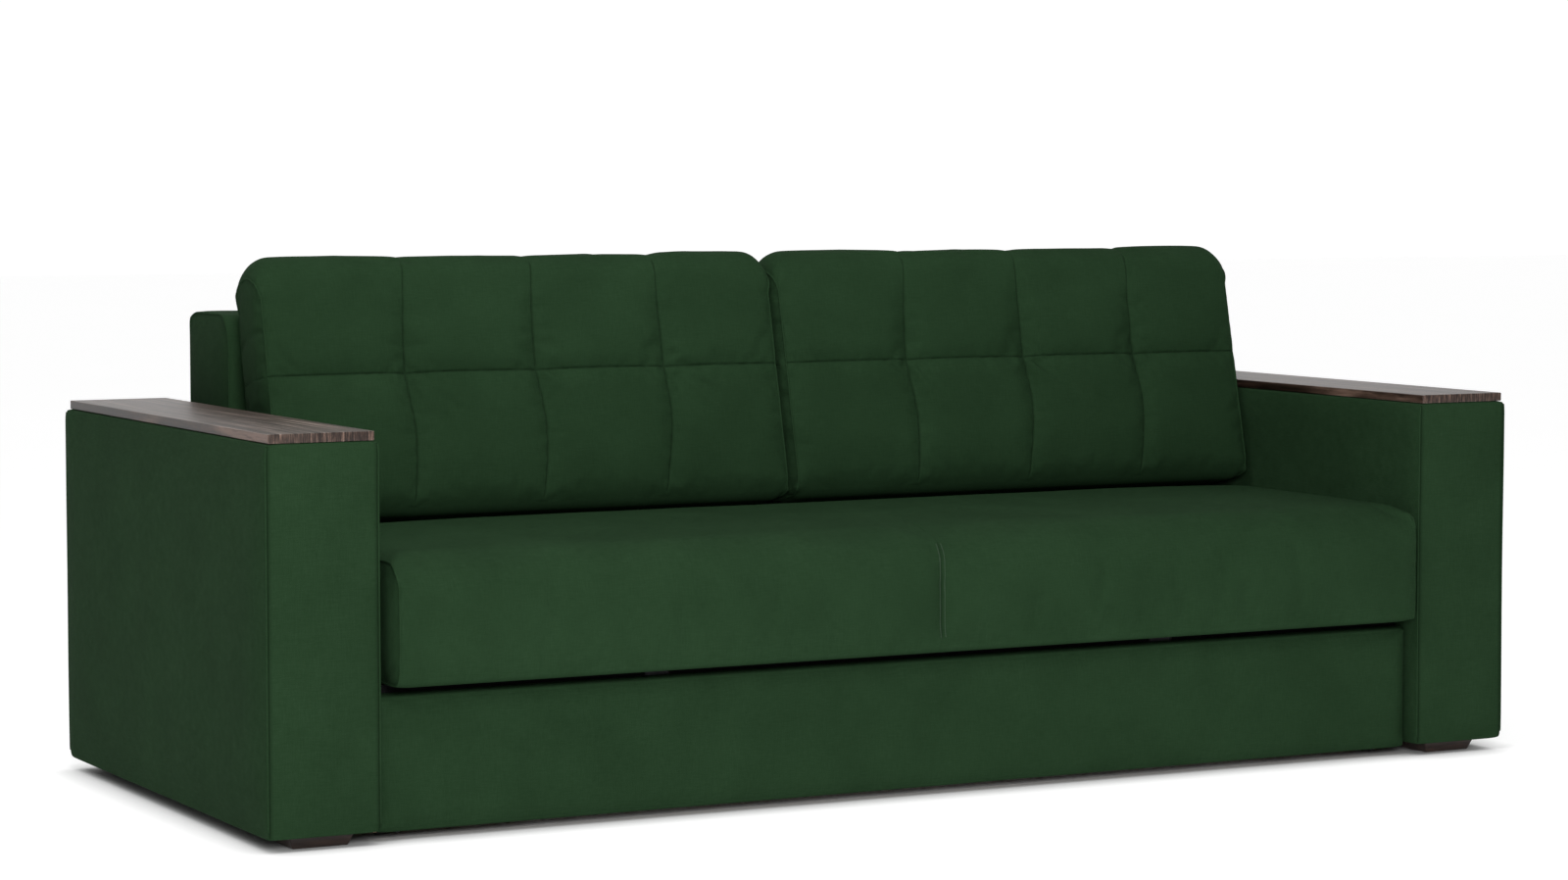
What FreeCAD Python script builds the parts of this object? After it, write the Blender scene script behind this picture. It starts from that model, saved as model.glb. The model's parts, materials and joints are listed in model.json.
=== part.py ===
import FreeCAD, Part
import os

# A wide sofa that opens into a double bed. The seat and the apron under it roll
# forward between the two arms; the back drops forward into the place they left.
# Millimetres, +Z up, the front faces -Y, origin on the floor at the middle.

doc = FreeCAD.newDocument("sofa_bed")

# Name, value, what it is.
SIZES = [
    ("overall_width", 2400, "outside of one arm to outside of the other"),
    ("front_line", -484, "y of the arms' front faces"),
    ("arm_width", 186, "one arm, side to side"),
    ("arm_depth", 997, "one arm, front to back"),
    ("arm_underside", 20, "floor to the cover of an arm"),
    ("arm_shoulder", 646, "floor to the underside of a wooden arm top"),
    ("arm_padding", 15, "padded cover over the arm's boards"),
    ("arm_round", 14, "soft edges of an arm"),
    ("top_thick", 15, "wooden arm top"),
    ("top_inset", 8, "arm top set back from the arm's inner face"),
    ("top_ease", 1.5, "eased edges of the arm top"),
    ("board_thick", 15, "arm, box and apron boards"),
    ("post_size", 40, "posts and rails inside an arm"),
    ("post_count", 5, "posts inside an arm"),
    ("foot_width", 94, "arm foot at the floor, side to side"),
    ("foot_depth", 70, "arm foot at the floor, front to back"),
    ("foot_flare", 8, "how much wider a foot is at its top, each side"),
    ("foot_setback", 30, "arm end to the foot"),
    ("seat_side_gap", 20, "seat to arm"),
    ("seat_overhang", 29, "seat in front of the arms' front faces"),
    ("seat_depth", 724, "seat, front to back"),
    ("seat_top", 455, "floor to the sleeping surface"),
    ("seat_underside", 249, "floor to the bottom of the seat"),
    ("seat_round", 24, "soft edges of the seat"),
    ("seat_tail_round", 50, "rear top edge of the seat, cleared by the falling back"),
    ("seat_travel", 580, "how far the seat rolls forward"),
    ("seat_wall", 34, "padding around the seat frame"),
    ("seat_crosses", 9, "cross members of the seat frame"),
    ("frame_height", 28, "seat frame members"),
    ("frame_width", 45, "seat frame members"),
    ("slat_width", 60, "one slat"),
    ("slat_thick", 8, "one slat"),
    ("slat_count", 11, "slats across the seat"),
    ("apron_end_gap", 3, "apron to arm"),
    ("apron_recess", 25, "apron behind the arms' front faces"),
    ("apron_padding", 22, "padded cover of the apron"),
    ("apron_seat_gap", 15, "apron to the seat above it"),
    ("apron_bottom", 13, "floor to the bottom of the apron"),
    ("apron_round", 9, "soft edges of the apron"),
    ("bracket_thick", 8, "steel brackets"),
    ("wheel_radius", 25, "front wheels, on the floor"),
    ("wheel_width", 18, "front wheels"),
    ("wheel_setback", 42, "apron board to the front wheels' axle"),
    ("wheel_arm_gap", 28, "front wheel to arm"),
    ("roller_radius", 16, "rear rollers, on the side rails"),
    ("roller_width", 18, "rear rollers"),
    ("roller_setback", 36, "rear rollers' axle in front of the rear of the seat"),
    ("roller_drop", 22, "rear rollers' axle below the seat"),
    ("roller_arm_gap", 15, "rear roller to arm"),
    ("ear_lap", 15, "how far a roller bracket laps under the seat frame"),
    ("axle_radius", 4, "axles of wheels and rollers"),
    ("running_gap", 0.4, "roller to rail, and seat frame to the padding around it"),
    ("axle_fit", 0.08, "axle to wheel or roller, all round"),
    ("wheel_side_gap", 2, "wheel or roller to its bracket"),
    ("rail_width", 38, "side rails the rollers run on"),
    ("rail_height", 36, "side rails the rollers run on"),
    ("rail_spare", 10, "side rail in front of the rollers' foremost place"),
    ("rail_tail", 40, "side rail behind the rollers' rearmost place"),
    ("back_end_gap", 10, "back to arm"),
    ("back_seat_gap", 24, "back to the rear of the seat"),
    ("back_slack", 1, "how much thinner the back is than the seat"),
    ("back_bottom", 73, "floor to the bottom of the back"),
    ("back_top", 823, "floor to the top of the back"),
    ("back_round", 50, "long top edges of the back"),
    ("back_bottom_round", 30, "long bottom edges of the back"),
    ("back_end_round", 10, "upright edges of the back"),
    ("back_padding", 12, "padded cover over the back's frame"),
    ("back_board", 25, "boards of the back's box frame"),
    ("back_ribs", 9, "ribs inside the back's box frame"),
    ("hinge_inset", 25, "hinge axis behind the front face of the back"),
    ("pin_radius", 8, "hinge pins"),
    ("sleeve_wall", 4, "steel sleeves the hinge pins turn in"),
    ("pin_fit", 0.08, "hinge pin to sleeve, all round"),
    ("plate_thick", 4, "hinge plates"),
    ("plate_size", 90, "hinge plates, height and depth"),
    ("stop_gap", 0.5, "between a part at rest and its stop"),
    ("stop_height", 60, "block the foot of the back rests against"),
    ("stop_drop", 32, "side rail to that block below it"),
    ("cushion_width", 984, "one loose cushion"),
    ("cushion_tall", 466, "one loose cushion"),
    ("cushion_thick", 130, "one loose cushion"),
    ("cushion_round", 40, "soft edges of a cushion"),
    ("cushion_lean", 13, "degrees a cushion leans back"),
    ("cushion_gap", 16, "between the two cushions"),
    ("cushion_seat_gap", 3, "cushion to seat"),
    ("cushion_back_gap", 11, "cushion to the rounded top of the back"),
    ("tilt_rise", 30, "a cushion's tilt axis above the middle of its lower front rounding"),
    ("zip_length", 700, "closure on the rear of a cushion"),
    ("zip_width", 12, "closure on the rear of a cushion"),
    ("zip_thick", 2, "closure on the rear of a cushion"),
    ("box_arm_gap", 64, "storage box to arm"),
    ("box_wheel_gap", 10, "storage box to the front wheels"),
    ("box_back_gap", 25, "storage box to the back"),
    ("box_seat_gap", 16, "storage box to the seat above it"),
    ("box_floor", 53, "floor to the underside of the storage box"),
    ("rail_section", 40, "cross rails under the box, front to back"),
    ("rest_width", 35, "blocks the folded back rests on"),
    ("rest_drop", 25, "how far those blocks reach down the box wall"),
    ("rest_depth", 60, "blocks the folded back rests on"),
    ("rest_setback", 115, "front of the box to those blocks"),
    ("low_rail_depth", 80, "flat rail under the back"),
    ("low_rail_inset", 43, "that rail to the rear faces of the arms"),
    ("low_rail_thick", 18, "that rail"),
]

sheet = doc.addObject("Spreadsheet::Sheet", "Sizes")
for row, (name, value, note) in enumerate(SIZES, 1):
    sheet.set("A%d" % row, name)
    sheet.set("B%d" % row, str(value))
    sheet.set("C%d" % row, note)
    sheet.setAlias("B%d" % row, name)
doc.recompute()
NAMES = sorted((name for name, _, _ in SIZES), key=len, reverse=True)

# Lengths worked out from the sheet, used in more than one place.
INNER = "(overall_width / 2 - arm_width)"
SEAT_HALF = "(" + INNER + " - seat_side_gap)"
SEAT_FRONT = "(front_line - seat_overhang)"
SEAT_REAR = "(" + SEAT_FRONT + " + seat_depth)"
APRON_FRONT = "(front_line + apron_recess)"
APRON_REAR = "(" + APRON_FRONT + " + apron_padding + board_thick)"
APRON_TOP = "(seat_underside - apron_seat_gap)"
FRAME_HALF = "(" + SEAT_HALF + " - seat_wall)"
FRAME_FRONT = "(" + SEAT_FRONT + " + seat_wall)"
FRAME_DEPTH = "(seat_depth - 2 * seat_wall)"
WHEEL_Y = "(" + APRON_REAR + " + wheel_setback)"
WHEEL_IN = "(" + INNER + " - wheel_arm_gap - wheel_width)"
ROLLER_Y = "(" + SEAT_REAR + " - roller_setback)"
ROLLER_Z = "(seat_underside - roller_drop)"
RAIL_Z = "(" + ROLLER_Z + " - roller_radius - running_gap - rail_height)"
ROLLER_IN = "(" + INNER + " - roller_arm_gap - roller_width)"
BACK_FRONT = "(" + SEAT_REAR + " + back_seat_gap)"
BACK_THICK = "(seat_top - seat_underside - back_slack)"
BACK_HALF = "(" + INNER + " - back_end_gap)"
HINGE_Y = "(" + BACK_FRONT + " + hinge_inset)"
HINGE_Z = "(seat_top - " + BACK_THICK + " + hinge_inset)"
BOX_HALF = "(" + INNER + " - box_arm_gap)"
BOX_FRONT = "(" + WHEEL_Y + " + wheel_radius + box_wheel_gap)"
BOX_DEPTH = "(" + BACK_FRONT + " - box_back_gap - " + BOX_FRONT + ")"
BOX_TOP = "(seat_underside - box_seat_gap)"
LEAN_SIN = "sin(cushion_lean * 1deg)"
LEAN_COS = "cos(cushion_lean * 1deg)"
TILT_Z = (
    "(seat_top + cushion_seat_gap + cushion_round + tilt_rise * " + LEAN_COS
    + " + (cushion_thick - 2 * cushion_round) * " + LEAN_SIN + ")"
)
TILT_Y = (
    "(" + BACK_FRONT + " + back_round - (cushion_thick - cushion_round + back_round + cushion_back_gap"
    + " + (back_top - back_round - " + TILT_Z + ") * " + LEAN_SIN + ") / " + LEAN_COS + ")"
)
SIDES = (("left", -1), ("right", 1))


def sized(text):
    """The expression with every size name pointed at the sheet."""
    out = ""
    word = ""
    for letter in str(text) + " ":
        if letter.isalnum() or letter == "_":
            word += letter
            continue
        out += "Sizes." + word if word in NAMES else word
        out += letter
        word = ""
    return out.strip()


def bind(obj, prop, text):
    obj.setExpression(prop, sized(text))


def put(obj, place):
    """Bind the three coordinates of an object's placement."""
    for axis, text in zip("xyz", place):
        bind(obj, "Placement.Base." + axis, text)


def start_of(side, near, size):
    """Lowest x of something `size` wide whose face toward the middle is at `near`."""
    if side > 0:
        return near
    return "-(%s) - (%s)" % (near, size)


def block(name, place, size):
    box = doc.addObject("Part::Box", name)
    for prop, text in zip(("Length", "Width", "Height"), size):
        bind(box, prop, text)
    put(box, place)
    return box


def rod(name, place, radius, length):
    """A cylinder along X from `place`."""
    bar = doc.addObject("Part::Cylinder", name)
    bar.Placement = FreeCAD.Placement(FreeCAD.Vector(), FreeCAD.Rotation(FreeCAD.Vector(0, 1, 0), 90))
    bind(bar, "Radius", radius)
    bind(bar, "Height", length)
    put(bar, place)
    return bar


def joined(name, shapes):
    whole = doc.addObject("Part::MultiFuse", name)
    whole.Shapes = shapes
    return whole


def cut(name, base, tool):
    rest = doc.addObject("Part::Cut", name)
    rest.Base = base
    rest.Tool = tool
    return rest


def edge_names(shape, picks):
    """Names of box edges. A pick is three signs: 0 along the edge, -1 or 1 for its sides."""
    around = shape.BoundBox
    centre = around.Center
    half = (around.XLength / 2, around.YLength / 2, around.ZLength / 2)
    names = []
    for number, edge in enumerate(shape.Edges, 1):
        middle = edge.valueAt((edge.FirstParameter + edge.LastParameter) / 2)
        part = [(middle[i] - centre[i]) / half[i] for i in range(3)]
        for pick in picks:
            off = [abs(part[i] - pick[i]) for i in range(3)]
            if all(off[i] < (1e-4 if pick[i] else 0.5) for i in range(3)):
                names.append("Edge%d" % number)
    return names


UPRIGHT = [(x, y, 0) for x in (-1, 1) for y in (-1, 1)]
ALONG_X = [(0, y, z) for y in (-1, 1) for z in (-1, 1)]
ALONG_Y = [(x, 0, z) for x in (-1, 1) for z in (-1, 1)]
ALL_EDGES = UPRIGHT + ALONG_X + ALONG_Y


def soft_block(name, place, size, rounds, corner=None, pockets=()):
    """A padded body: one block, rounded edge groups, then pockets cut into it.

    place: where the body's own origin goes; corner: the block's lowest corner in the body;
    rounds: (radius, edge picks); pockets: (corner, size) in the body.
    """
    body = doc.addObject("PartDesign::Body", name)
    base = body.newObject("PartDesign::AdditiveBox", name + "_block")
    for prop, text in zip(("Length", "Width", "Height"), size):
        bind(base, prop, text)
    if corner:
        put(base, corner)
    put(body, place)
    doc.recompute()
    last = base
    for number, (radius, picks) in enumerate(rounds):
        soft = body.newObject("PartDesign::Fillet", "%s_round%d" % (name, number))
        soft.Base = (last, edge_names(last.Shape, picks))
        bind(soft, "Radius", radius)
        doc.recompute()
        last = soft
    for number, (low, span) in enumerate(pockets):
        pocket = body.newObject("PartDesign::SubtractiveBox", "%s_pocket%d" % (name, number))
        for prop, text in zip(("Length", "Width", "Height"), span):
            bind(pocket, prop, text)
        put(pocket, low)
    return body


nodes = []


def node(obj, label):
    obj.Label = label
    nodes.append(obj)
    return obj


def arm(word, side):
    """One arm: boards and posts inside a padded cover, a wooden top, two feet."""
    depth = "arm_depth"
    height = "(arm_shoulder - arm_underside)"
    cover = soft_block(
        "arm_cover_" + word,
        (start_of(side, INNER, "arm_width"), "front_line", "arm_underside"),
        ("arm_width", depth, height),
        [("arm_round", UPRIGHT + [(0, -1, -1), (0, 1, -1), (-1, 0, -1), (1, 0, -1)])],
        pockets=[(
            ("arm_padding", "arm_padding", "arm_padding"),
            ("arm_width - 2 * arm_padding", depth + " - 2 * arm_padding", height),
        )],
    )
    node(cover, "arm_cover_" + word)
    low_y = "front_line + arm_padding"
    low_z = "arm_underside + arm_padding"
    long_y = "arm_depth - 2 * arm_padding"
    tall_z = "arm_shoulder - arm_underside - arm_padding"
    inner = INNER + " + arm_padding"
    outer = "overall_width / 2 - arm_padding - board_thick"
    for which, near in (("inner", inner), ("outer", outer)):
        board = block(
            "arm_%s_board_%s" % (which, word),
            (start_of(side, near, "board_thick"), low_y, low_z),
            ("board_thick", long_y, tall_z),
        )
        node(board, "arm_%s_board_%s" % (which, word))
    between = "arm_width - 2 * arm_padding - 2 * board_thick"
    start = start_of(side, inner + " + board_thick", between)
    posts = []
    count = int(sheet.get("post_count"))
    for number in range(count):
        y = "%s + %s * (%s - post_size)" % (low_y, number / (count - 1), long_y)
        posts.append(block("post_%s_%d" % (word, number), (start, y, low_z), (between, "post_size", tall_z)))
    for number, z in enumerate((low_z, "arm_shoulder - post_size")):
        posts.append(block("rail_%s_%d" % (word, number), (start, low_y, z), (between, long_y, "post_size")))
    node(joined("arm_frame_" + word, posts), "arm_frame_" + word)
    top = soft_block(
        "arm_top_" + word,
        (start_of(side, INNER + " + top_inset", "arm_width - top_inset"), "front_line", "arm_shoulder"),
        ("arm_width - top_inset", "arm_depth", "top_thick"),
        [("top_ease", ALL_EDGES)],
    )
    node(top, "arm_top_" + word)
    middle = INNER + " + arm_width / 2"
    for which, y in (
        ("front", "front_line + foot_setback"),
        ("rear", "front_line + arm_depth - foot_setback - foot_depth"),
    ):
        foot = doc.addObject("Part::Wedge", "arm_foot_%s_%s" % (which, word))
        for prop, text in (
            ("Xmin", "-foot_width / 2"), ("Xmax", "foot_width / 2"),
            ("X2min", "-foot_width / 2 - foot_flare"), ("X2max", "foot_width / 2 + foot_flare"),
            ("Zmin", 0), ("Zmax", "foot_depth"),
            ("Z2min", "-foot_flare"), ("Z2max", "foot_depth + foot_flare"),
            ("Ymin", 0), ("Ymax", "arm_underside"),
        ):
            bind(foot, prop, text)
        foot.Placement = FreeCAD.Placement(FreeCAD.Vector(), FreeCAD.Rotation(FreeCAD.Vector(1, 0, 0), 90))
        put(foot, ("%d * (%s)" % (side, middle), y + " + foot_depth", 0))
        node(foot, "arm_foot_%s_%s" % (which, word))


def fittings(word, side):
    """What is screwed to the inner face of an arm: hinge plate and pin, stop, rail, rest."""
    plate = block(
        "plate_" + word,
        (start_of(side, INNER + " - plate_thick", "plate_thick"), HINGE_Y + " - plate_size / 2",
         HINGE_Z + " - plate_size / 2"),
        ("plate_thick", "plate_size", "plate_size"),
    )
    reach = "(back_end_gap + back_padding + back_board - wheel_side_gap)"
    start = start_of(side, INNER + " - " + reach, reach)
    pin = rod("pin_" + word, (start, HINGE_Y, HINGE_Z), "pin_radius", reach)
    node(joined("hinge_plate_" + word, [plate, pin]), "hinge_plate_" + word)
    start = start_of(side, INNER + " - rail_width", "rail_width")
    stop_depth = "(box_back_gap - 2 * stop_gap)"
    node(block(
        "stop_block_" + word,
        (start, BACK_FRONT + " - stop_gap - " + stop_depth, RAIL_Z + " - stop_drop - stop_height"),
        ("rail_width", stop_depth, "stop_height"),
    ), "stop_block_" + word)
    node(block(
        "roller_rail_" + word,
        (start, ROLLER_Y + " - seat_travel - rail_spare", RAIL_Z),
        ("rail_width", "rail_spare + seat_travel + rail_tail", "rail_height"),
    ), "roller_rail_" + word)
    start = start_of(side, BOX_HALF + " - board_thick - rest_width", "rest_width")
    node(block(
        "back_rest_" + word,
        (start, BOX_FRONT + " + rest_setback", BOX_TOP + " - rest_drop"),
        ("rest_width", "rest_depth", "box_seat_gap - stop_gap + rest_drop"),
    ), "back_rest_" + word)


def storage_box():
    """The open box under the seat, on two cross rails that tie the arms together."""
    for which, y in (("front", BOX_FRONT), ("mid", BOX_FRONT + " + " + BOX_DEPTH + " - rail_section")):
        node(block(
            "cross_rail_" + which,
            ("-" + INNER, y, "arm_underside"),
            ("2 * " + INNER, "rail_section", "box_floor - arm_underside"),
        ), "cross_rail_" + which)
    node(block(
        "rear_rail",
        ("-" + INNER, "front_line + arm_depth - low_rail_inset - low_rail_depth", "arm_underside"),
        ("2 * " + INNER, "low_rail_depth", "low_rail_thick"),
    ), "rear_rail")
    node(block(
        "box_floor_panel",
        ("-" + BOX_HALF, BOX_FRONT, "box_floor"),
        ("2 * " + BOX_HALF, BOX_DEPTH, "board_thick"),
    ), "box_floor_panel")
    wall_z = "box_floor + board_thick"
    wall_tall = BOX_TOP + " - box_floor - board_thick"
    for which, y in (("front", BOX_FRONT), ("rear", BOX_FRONT + " + " + BOX_DEPTH + " - board_thick")):
        node(block(
            "box_wall_" + which,
            ("-" + BOX_HALF, y, wall_z),
            ("2 * " + BOX_HALF, "board_thick", wall_tall),
        ), "box_wall_" + which)
    for word, side in SIDES:
        start = start_of(side, BOX_HALF + " - board_thick", "board_thick")
        node(block(
            "box_wall_" + word,
            (start, BOX_FRONT + " + board_thick", wall_z),
            ("board_thick", BOX_DEPTH + " - 2 * board_thick", wall_tall),
        ), "box_wall_" + word)
        node(block(
            "centre_foot_" + word,
            (start_of(side, BOX_HALF + " / 3", "rail_section"), BOX_FRONT, 0),
            ("rail_section", "rail_section", "arm_underside"),
        ), "centre_foot_" + word)


def seat():
    """The padded seat on its slatted frame, and the padded apron hung below it."""
    pad = soft_block(
        "seat_pad",
        ("-" + SEAT_HALF, SEAT_FRONT, "seat_underside"),
        ("2 * " + SEAT_HALF, "seat_depth", "seat_top - seat_underside"),
        [
            ("seat_tail_round", [(0, 1, 1)]),
            ("seat_round", [(0, -1, 1), (0, -1, -1), (-1, -1, 0), (1, -1, 0)]),
        ],
        pockets=[(
            ("seat_wall - running_gap", "seat_wall - running_gap", 0),
            ("2 * " + FRAME_HALF + " + 2 * running_gap", FRAME_DEPTH + " + 2 * running_gap",
             "frame_height + slat_thick + running_gap"),
        )],
    )
    node(pad, "seat_pad")
    members = []
    for number, y in enumerate((FRAME_FRONT, FRAME_FRONT + " + " + FRAME_DEPTH + " - frame_width")):
        members.append(block(
            "seat_long_%d" % number,
            ("-" + FRAME_HALF, y, "seat_underside"),
            ("2 * " + FRAME_HALF, "frame_width", "frame_height"),
        ))
    crosses = int(sheet.get("seat_crosses"))
    for number in range(crosses):
        x = "-%s + %s * (2 * %s - frame_width)" % (FRAME_HALF, number / (crosses - 1), FRAME_HALF)
        members.append(block(
            "seat_cross_%d" % number,
            (x, FRAME_FRONT, "seat_underside"),
            ("frame_width", FRAME_DEPTH, "frame_height"),
        ))
    node(joined("seat_frame", members), "seat_frame")
    slats = []
    count = int(sheet.get("slat_count"))
    for number in range(count):
        x = "-%s + %s * (2 * %s - slat_width)" % (FRAME_HALF, number / (count - 1), FRAME_HALF)
        slats.append(block(
            "slat_%d" % number,
            (x, FRAME_FRONT, "seat_underside + frame_height"),
            ("slat_width", FRAME_DEPTH, "slat_thick"),
        ))
    for number, y in enumerate((FRAME_FRONT, FRAME_FRONT + " + " + FRAME_DEPTH + " - frame_width")):
        slats.append(block(
            "slat_band_%d" % number,
            ("-" + FRAME_HALF, y, "seat_underside + frame_height"),
            ("2 * " + FRAME_HALF, "frame_width", "slat_thick"),
        ))
    node(joined("seat_slats", slats), "seat_slats")

    apron_half = "(" + INNER + " - apron_end_gap)"
    tall = APRON_TOP + " - apron_bottom"
    node(soft_block(
        "apron_pad",
        ("-" + apron_half, APRON_FRONT, "apron_bottom"),
        ("2 * " + apron_half, "apron_padding", tall),
        [("apron_round", [(0, -1, 1), (0, -1, -1), (-1, -1, 0), (1, -1, 0)])],
    ), "apron_pad")
    node(block(
        "apron_board",
        ("-" + apron_half, APRON_FRONT + " + apron_padding", "apron_bottom"),
        ("2 * " + apron_half, "board_thick", tall),
    ), "apron_board")


def running_gear(word, side):
    """Brackets, wheels and rollers on one side of the seat."""
    # A bracket hangs the apron from the seat frame: an upright leg and a foot under the frame.
    near = BOX_HALF + " / 2"
    leg = block(
        "apron_leg_" + word,
        (start_of(side, near, "frame_width"), APRON_REAR, APRON_TOP + " - 2 * frame_width"),
        ("frame_width", "bracket_thick", "apron_seat_gap + 2 * frame_width"),
    )
    tongue = block(
        "apron_tongue_" + word,
        (start_of(side, near, "frame_width"), APRON_REAR, "seat_underside - bracket_thick"),
        ("frame_width", "frame_width", "bracket_thick"),
    )
    node(joined("apron_bracket_" + word, [leg, tongue]), "apron_bracket_" + word)

    # Front wheel: the fork is a plate on the inner side, bent onto the apron board.
    fork_in = "(" + WHEEL_IN + " - wheel_side_gap - bracket_thick)"
    cheek = block(
        "fork_cheek_" + word,
        (start_of(side, fork_in, "bracket_thick"), APRON_REAR, "apron_bottom / 2"),
        ("bracket_thick", "wheel_setback + 2 * axle_radius", "wheel_radius + apron_bottom"),
    )
    flange = block(
        "fork_flange_" + word,
        (start_of(side, fork_in + " - frame_width", "frame_width + bracket_thick"), APRON_REAR,
         "apron_bottom"),
        ("frame_width + bracket_thick", "bracket_thick / 2", "wheel_radius + apron_bottom / 2"),
    )
    axle_reach = "(bracket_thick + wheel_side_gap + wheel_width)"
    axle_place = (start_of(side, fork_in, axle_reach), WHEEL_Y, "wheel_radius")
    axle = rod("fork_axle_" + word, axle_place, "axle_radius", axle_reach)
    node(joined("wheel_fork_" + word, [cheek, flange, axle]), "wheel_fork_" + word)
    place = (start_of(side, WHEEL_IN, "wheel_width"), WHEEL_Y, "wheel_radius")
    tyre = rod("tyre_" + word, place, "wheel_radius", "wheel_width")
    bore = rod("bore_" + word, place, "axle_radius + axle_fit", "wheel_width")
    node(cut("front_wheel_" + word, tyre, bore), "front_wheel_" + word)

    # Rear roller: its bracket hangs from the seat frame, inside the rail.
    drop_in = "(" + ROLLER_IN + " - wheel_side_gap - bracket_thick)"
    drop = block(
        "drop_" + word,
        (start_of(side, drop_in, "bracket_thick"), ROLLER_Y + " - roller_radius",
         ROLLER_Z + " - 2 * axle_radius"),
        ("bracket_thick", "2 * roller_radius", "roller_drop + 2 * axle_radius"),
    )
    ear_width = "(" + drop_in + " + bracket_thick - " + FRAME_HALF + " + ear_lap)"
    ear = block(
        "ear_" + word,
        (start_of(side, FRAME_HALF + " - ear_lap", ear_width), ROLLER_Y + " - roller_radius",
         "seat_underside - bracket_thick / 2"),
        (ear_width, "2 * roller_radius", "bracket_thick / 2"),
    )
    spindle_reach = "(bracket_thick + wheel_side_gap + roller_width)"
    spindle_place = (start_of(side, drop_in, spindle_reach), ROLLER_Y, ROLLER_Z)
    spindle = rod("spindle_" + word, spindle_place, "axle_radius", spindle_reach)
    node(joined("roller_bracket_" + word, [drop, ear, spindle]), "roller_bracket_" + word)
    place = (start_of(side, ROLLER_IN, "roller_width"), ROLLER_Y, ROLLER_Z)
    rim = rod("rim_" + word, place, "roller_radius", "roller_width")
    hole = rod("hole_" + word, place, "axle_radius + axle_fit", "roller_width")
    node(cut("rear_roller_" + word, rim, hole), "rear_roller_" + word)


def back():
    """The folding back: a box frame of boards in a padded cover that is open underneath."""
    length = "2 * " + BACK_HALF
    tall = "(back_top - back_bottom)"
    cover = soft_block(
        "back_shell",
        ("-" + BACK_HALF, BACK_FRONT, "back_bottom"),
        (length, BACK_THICK, tall),
        [
            ("back_round", [(0, -1, 1), (0, 1, 1)]),
            ("back_bottom_round", [(0, 1, -1)]),
            ("back_end_round", [(-1, 1, 0), (1, 1, 0), (-1, -1, 0), (1, -1, 0)]),
        ],
        pockets=[(
            ("back_padding", "back_padding", 0),
            (length + " - 2 * back_padding", BACK_THICK + " - 2 * back_padding - back_bottom_round",
             tall + " - back_padding - back_round / 2"),
        )],
    )
    sleeve_out = "(pin_radius + pin_fit + sleeve_wall)"
    holes = []
    for word, side in SIDES:
        holes.append(rod(
            "sleeve_hole_" + word,
            (start_of(side, BACK_HALF + " - back_padding", "back_padding"), HINGE_Y, HINGE_Z),
            sleeve_out, "back_padding",
        ))
    node(cut("back_cover", cover, joined("sleeve_holes", holes)), "back_cover")

    half = "(" + BACK_HALF + " - back_padding)"
    y = BACK_FRONT + " + back_padding"
    deep = "(" + BACK_THICK + " - 2 * back_padding - back_bottom_round)"
    base = "(back_bottom + board_thick)"
    rise = "(%s - back_padding - back_round / 2 - board_thick)" % tall
    panel = block("back_bottom_board", ("-" + half, y, "back_bottom"), ("2 * " + half, deep, "board_thick"))
    node(panel, "back_bottom_board")
    boards = []
    for number, z in enumerate((base, "%s + %s - back_board" % (base, rise))):
        boards.append(block("back_rail_%d" % number, ("-" + half, y, z), ("2 * " + half, deep, "back_board")))
    count = int(sheet.get("back_ribs"))
    for number in range(count):
        x = "-%s + %s * (2 * %s - back_board)" % (half, number / (count - 1), half)
        boards.append(block("back_rib_%d" % number, (x, y, base), ("back_board", deep, rise)))
    bores = []
    for word, side in SIDES:
        bores.append(rod(
            "sleeve_bore_" + word,
            (start_of(side, half + " - back_board", "back_board"), HINGE_Y, HINGE_Z),
            sleeve_out, "back_board",
        ))
    node(cut("back_frame", joined("back_boards", boards), joined("sleeve_bores", bores)), "back_frame")
    for word, side in SIDES:
        reach = "(back_padding + back_board)"
        place = (start_of(side, BACK_HALF + " - " + reach, reach), HINGE_Y, HINGE_Z)
        tube = rod("tube_" + word, place, sleeve_out, reach)
        hollow = rod("hollow_" + word, place, "pin_radius + pin_fit", reach)
        node(cut("hinge_sleeve_" + word, tube, hollow), "hinge_sleeve_" + word)


def cushion(word, side):
    """A loose cushion leaning on the back; its own origin is on its tilt axis."""
    lean = FreeCAD.Placement(FreeCAD.Vector(), FreeCAD.Rotation(FreeCAD.Vector(1, 0, 0), -1))
    middle = "%d * (cushion_width + cushion_gap) / 2" % side
    pad = soft_block(
        "cushion_" + word,
        (middle, TILT_Y, TILT_Z),
        ("cushion_width", "cushion_thick", "cushion_tall"),
        [("cushion_round", ALL_EDGES)],
        corner=("-cushion_width / 2", "-cushion_round", "-cushion_round - tilt_rise"),
    )
    strip = soft_block(
        "cushion_zip_" + word,
        (middle, TILT_Y, TILT_Z),
        ("zip_length", "zip_thick", "zip_width"),
        [],
        corner=("-zip_length / 2", "cushion_thick - cushion_round", "cushion_round - tilt_rise"),
    )
    for body in (pad, strip):
        body.Placement = lean
        bind(body, "Placement.Rotation.Angle", "-cushion_lean * 1deg")
    node(pad, "cushion_" + word)
    node(strip, "cushion_zip_" + word)


for word, side in SIDES:
    arm(word, side)
    fittings(word, side)
storage_box()
seat()
for word, side in SIDES:
    running_gear(word, side)
back()
for word, side in SIDES:
    cushion(word, side)
doc.recompute()

faults = [obj.Name for obj in doc.Objects if "Invalid" in obj.State or "Error" in obj.State]
faults += [obj.Label for obj in nodes if not obj.Shape.isValid() or not obj.Shape.Solids]
if faults:
    raise RuntimeError("not sound: " + ", ".join(faults))

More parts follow.
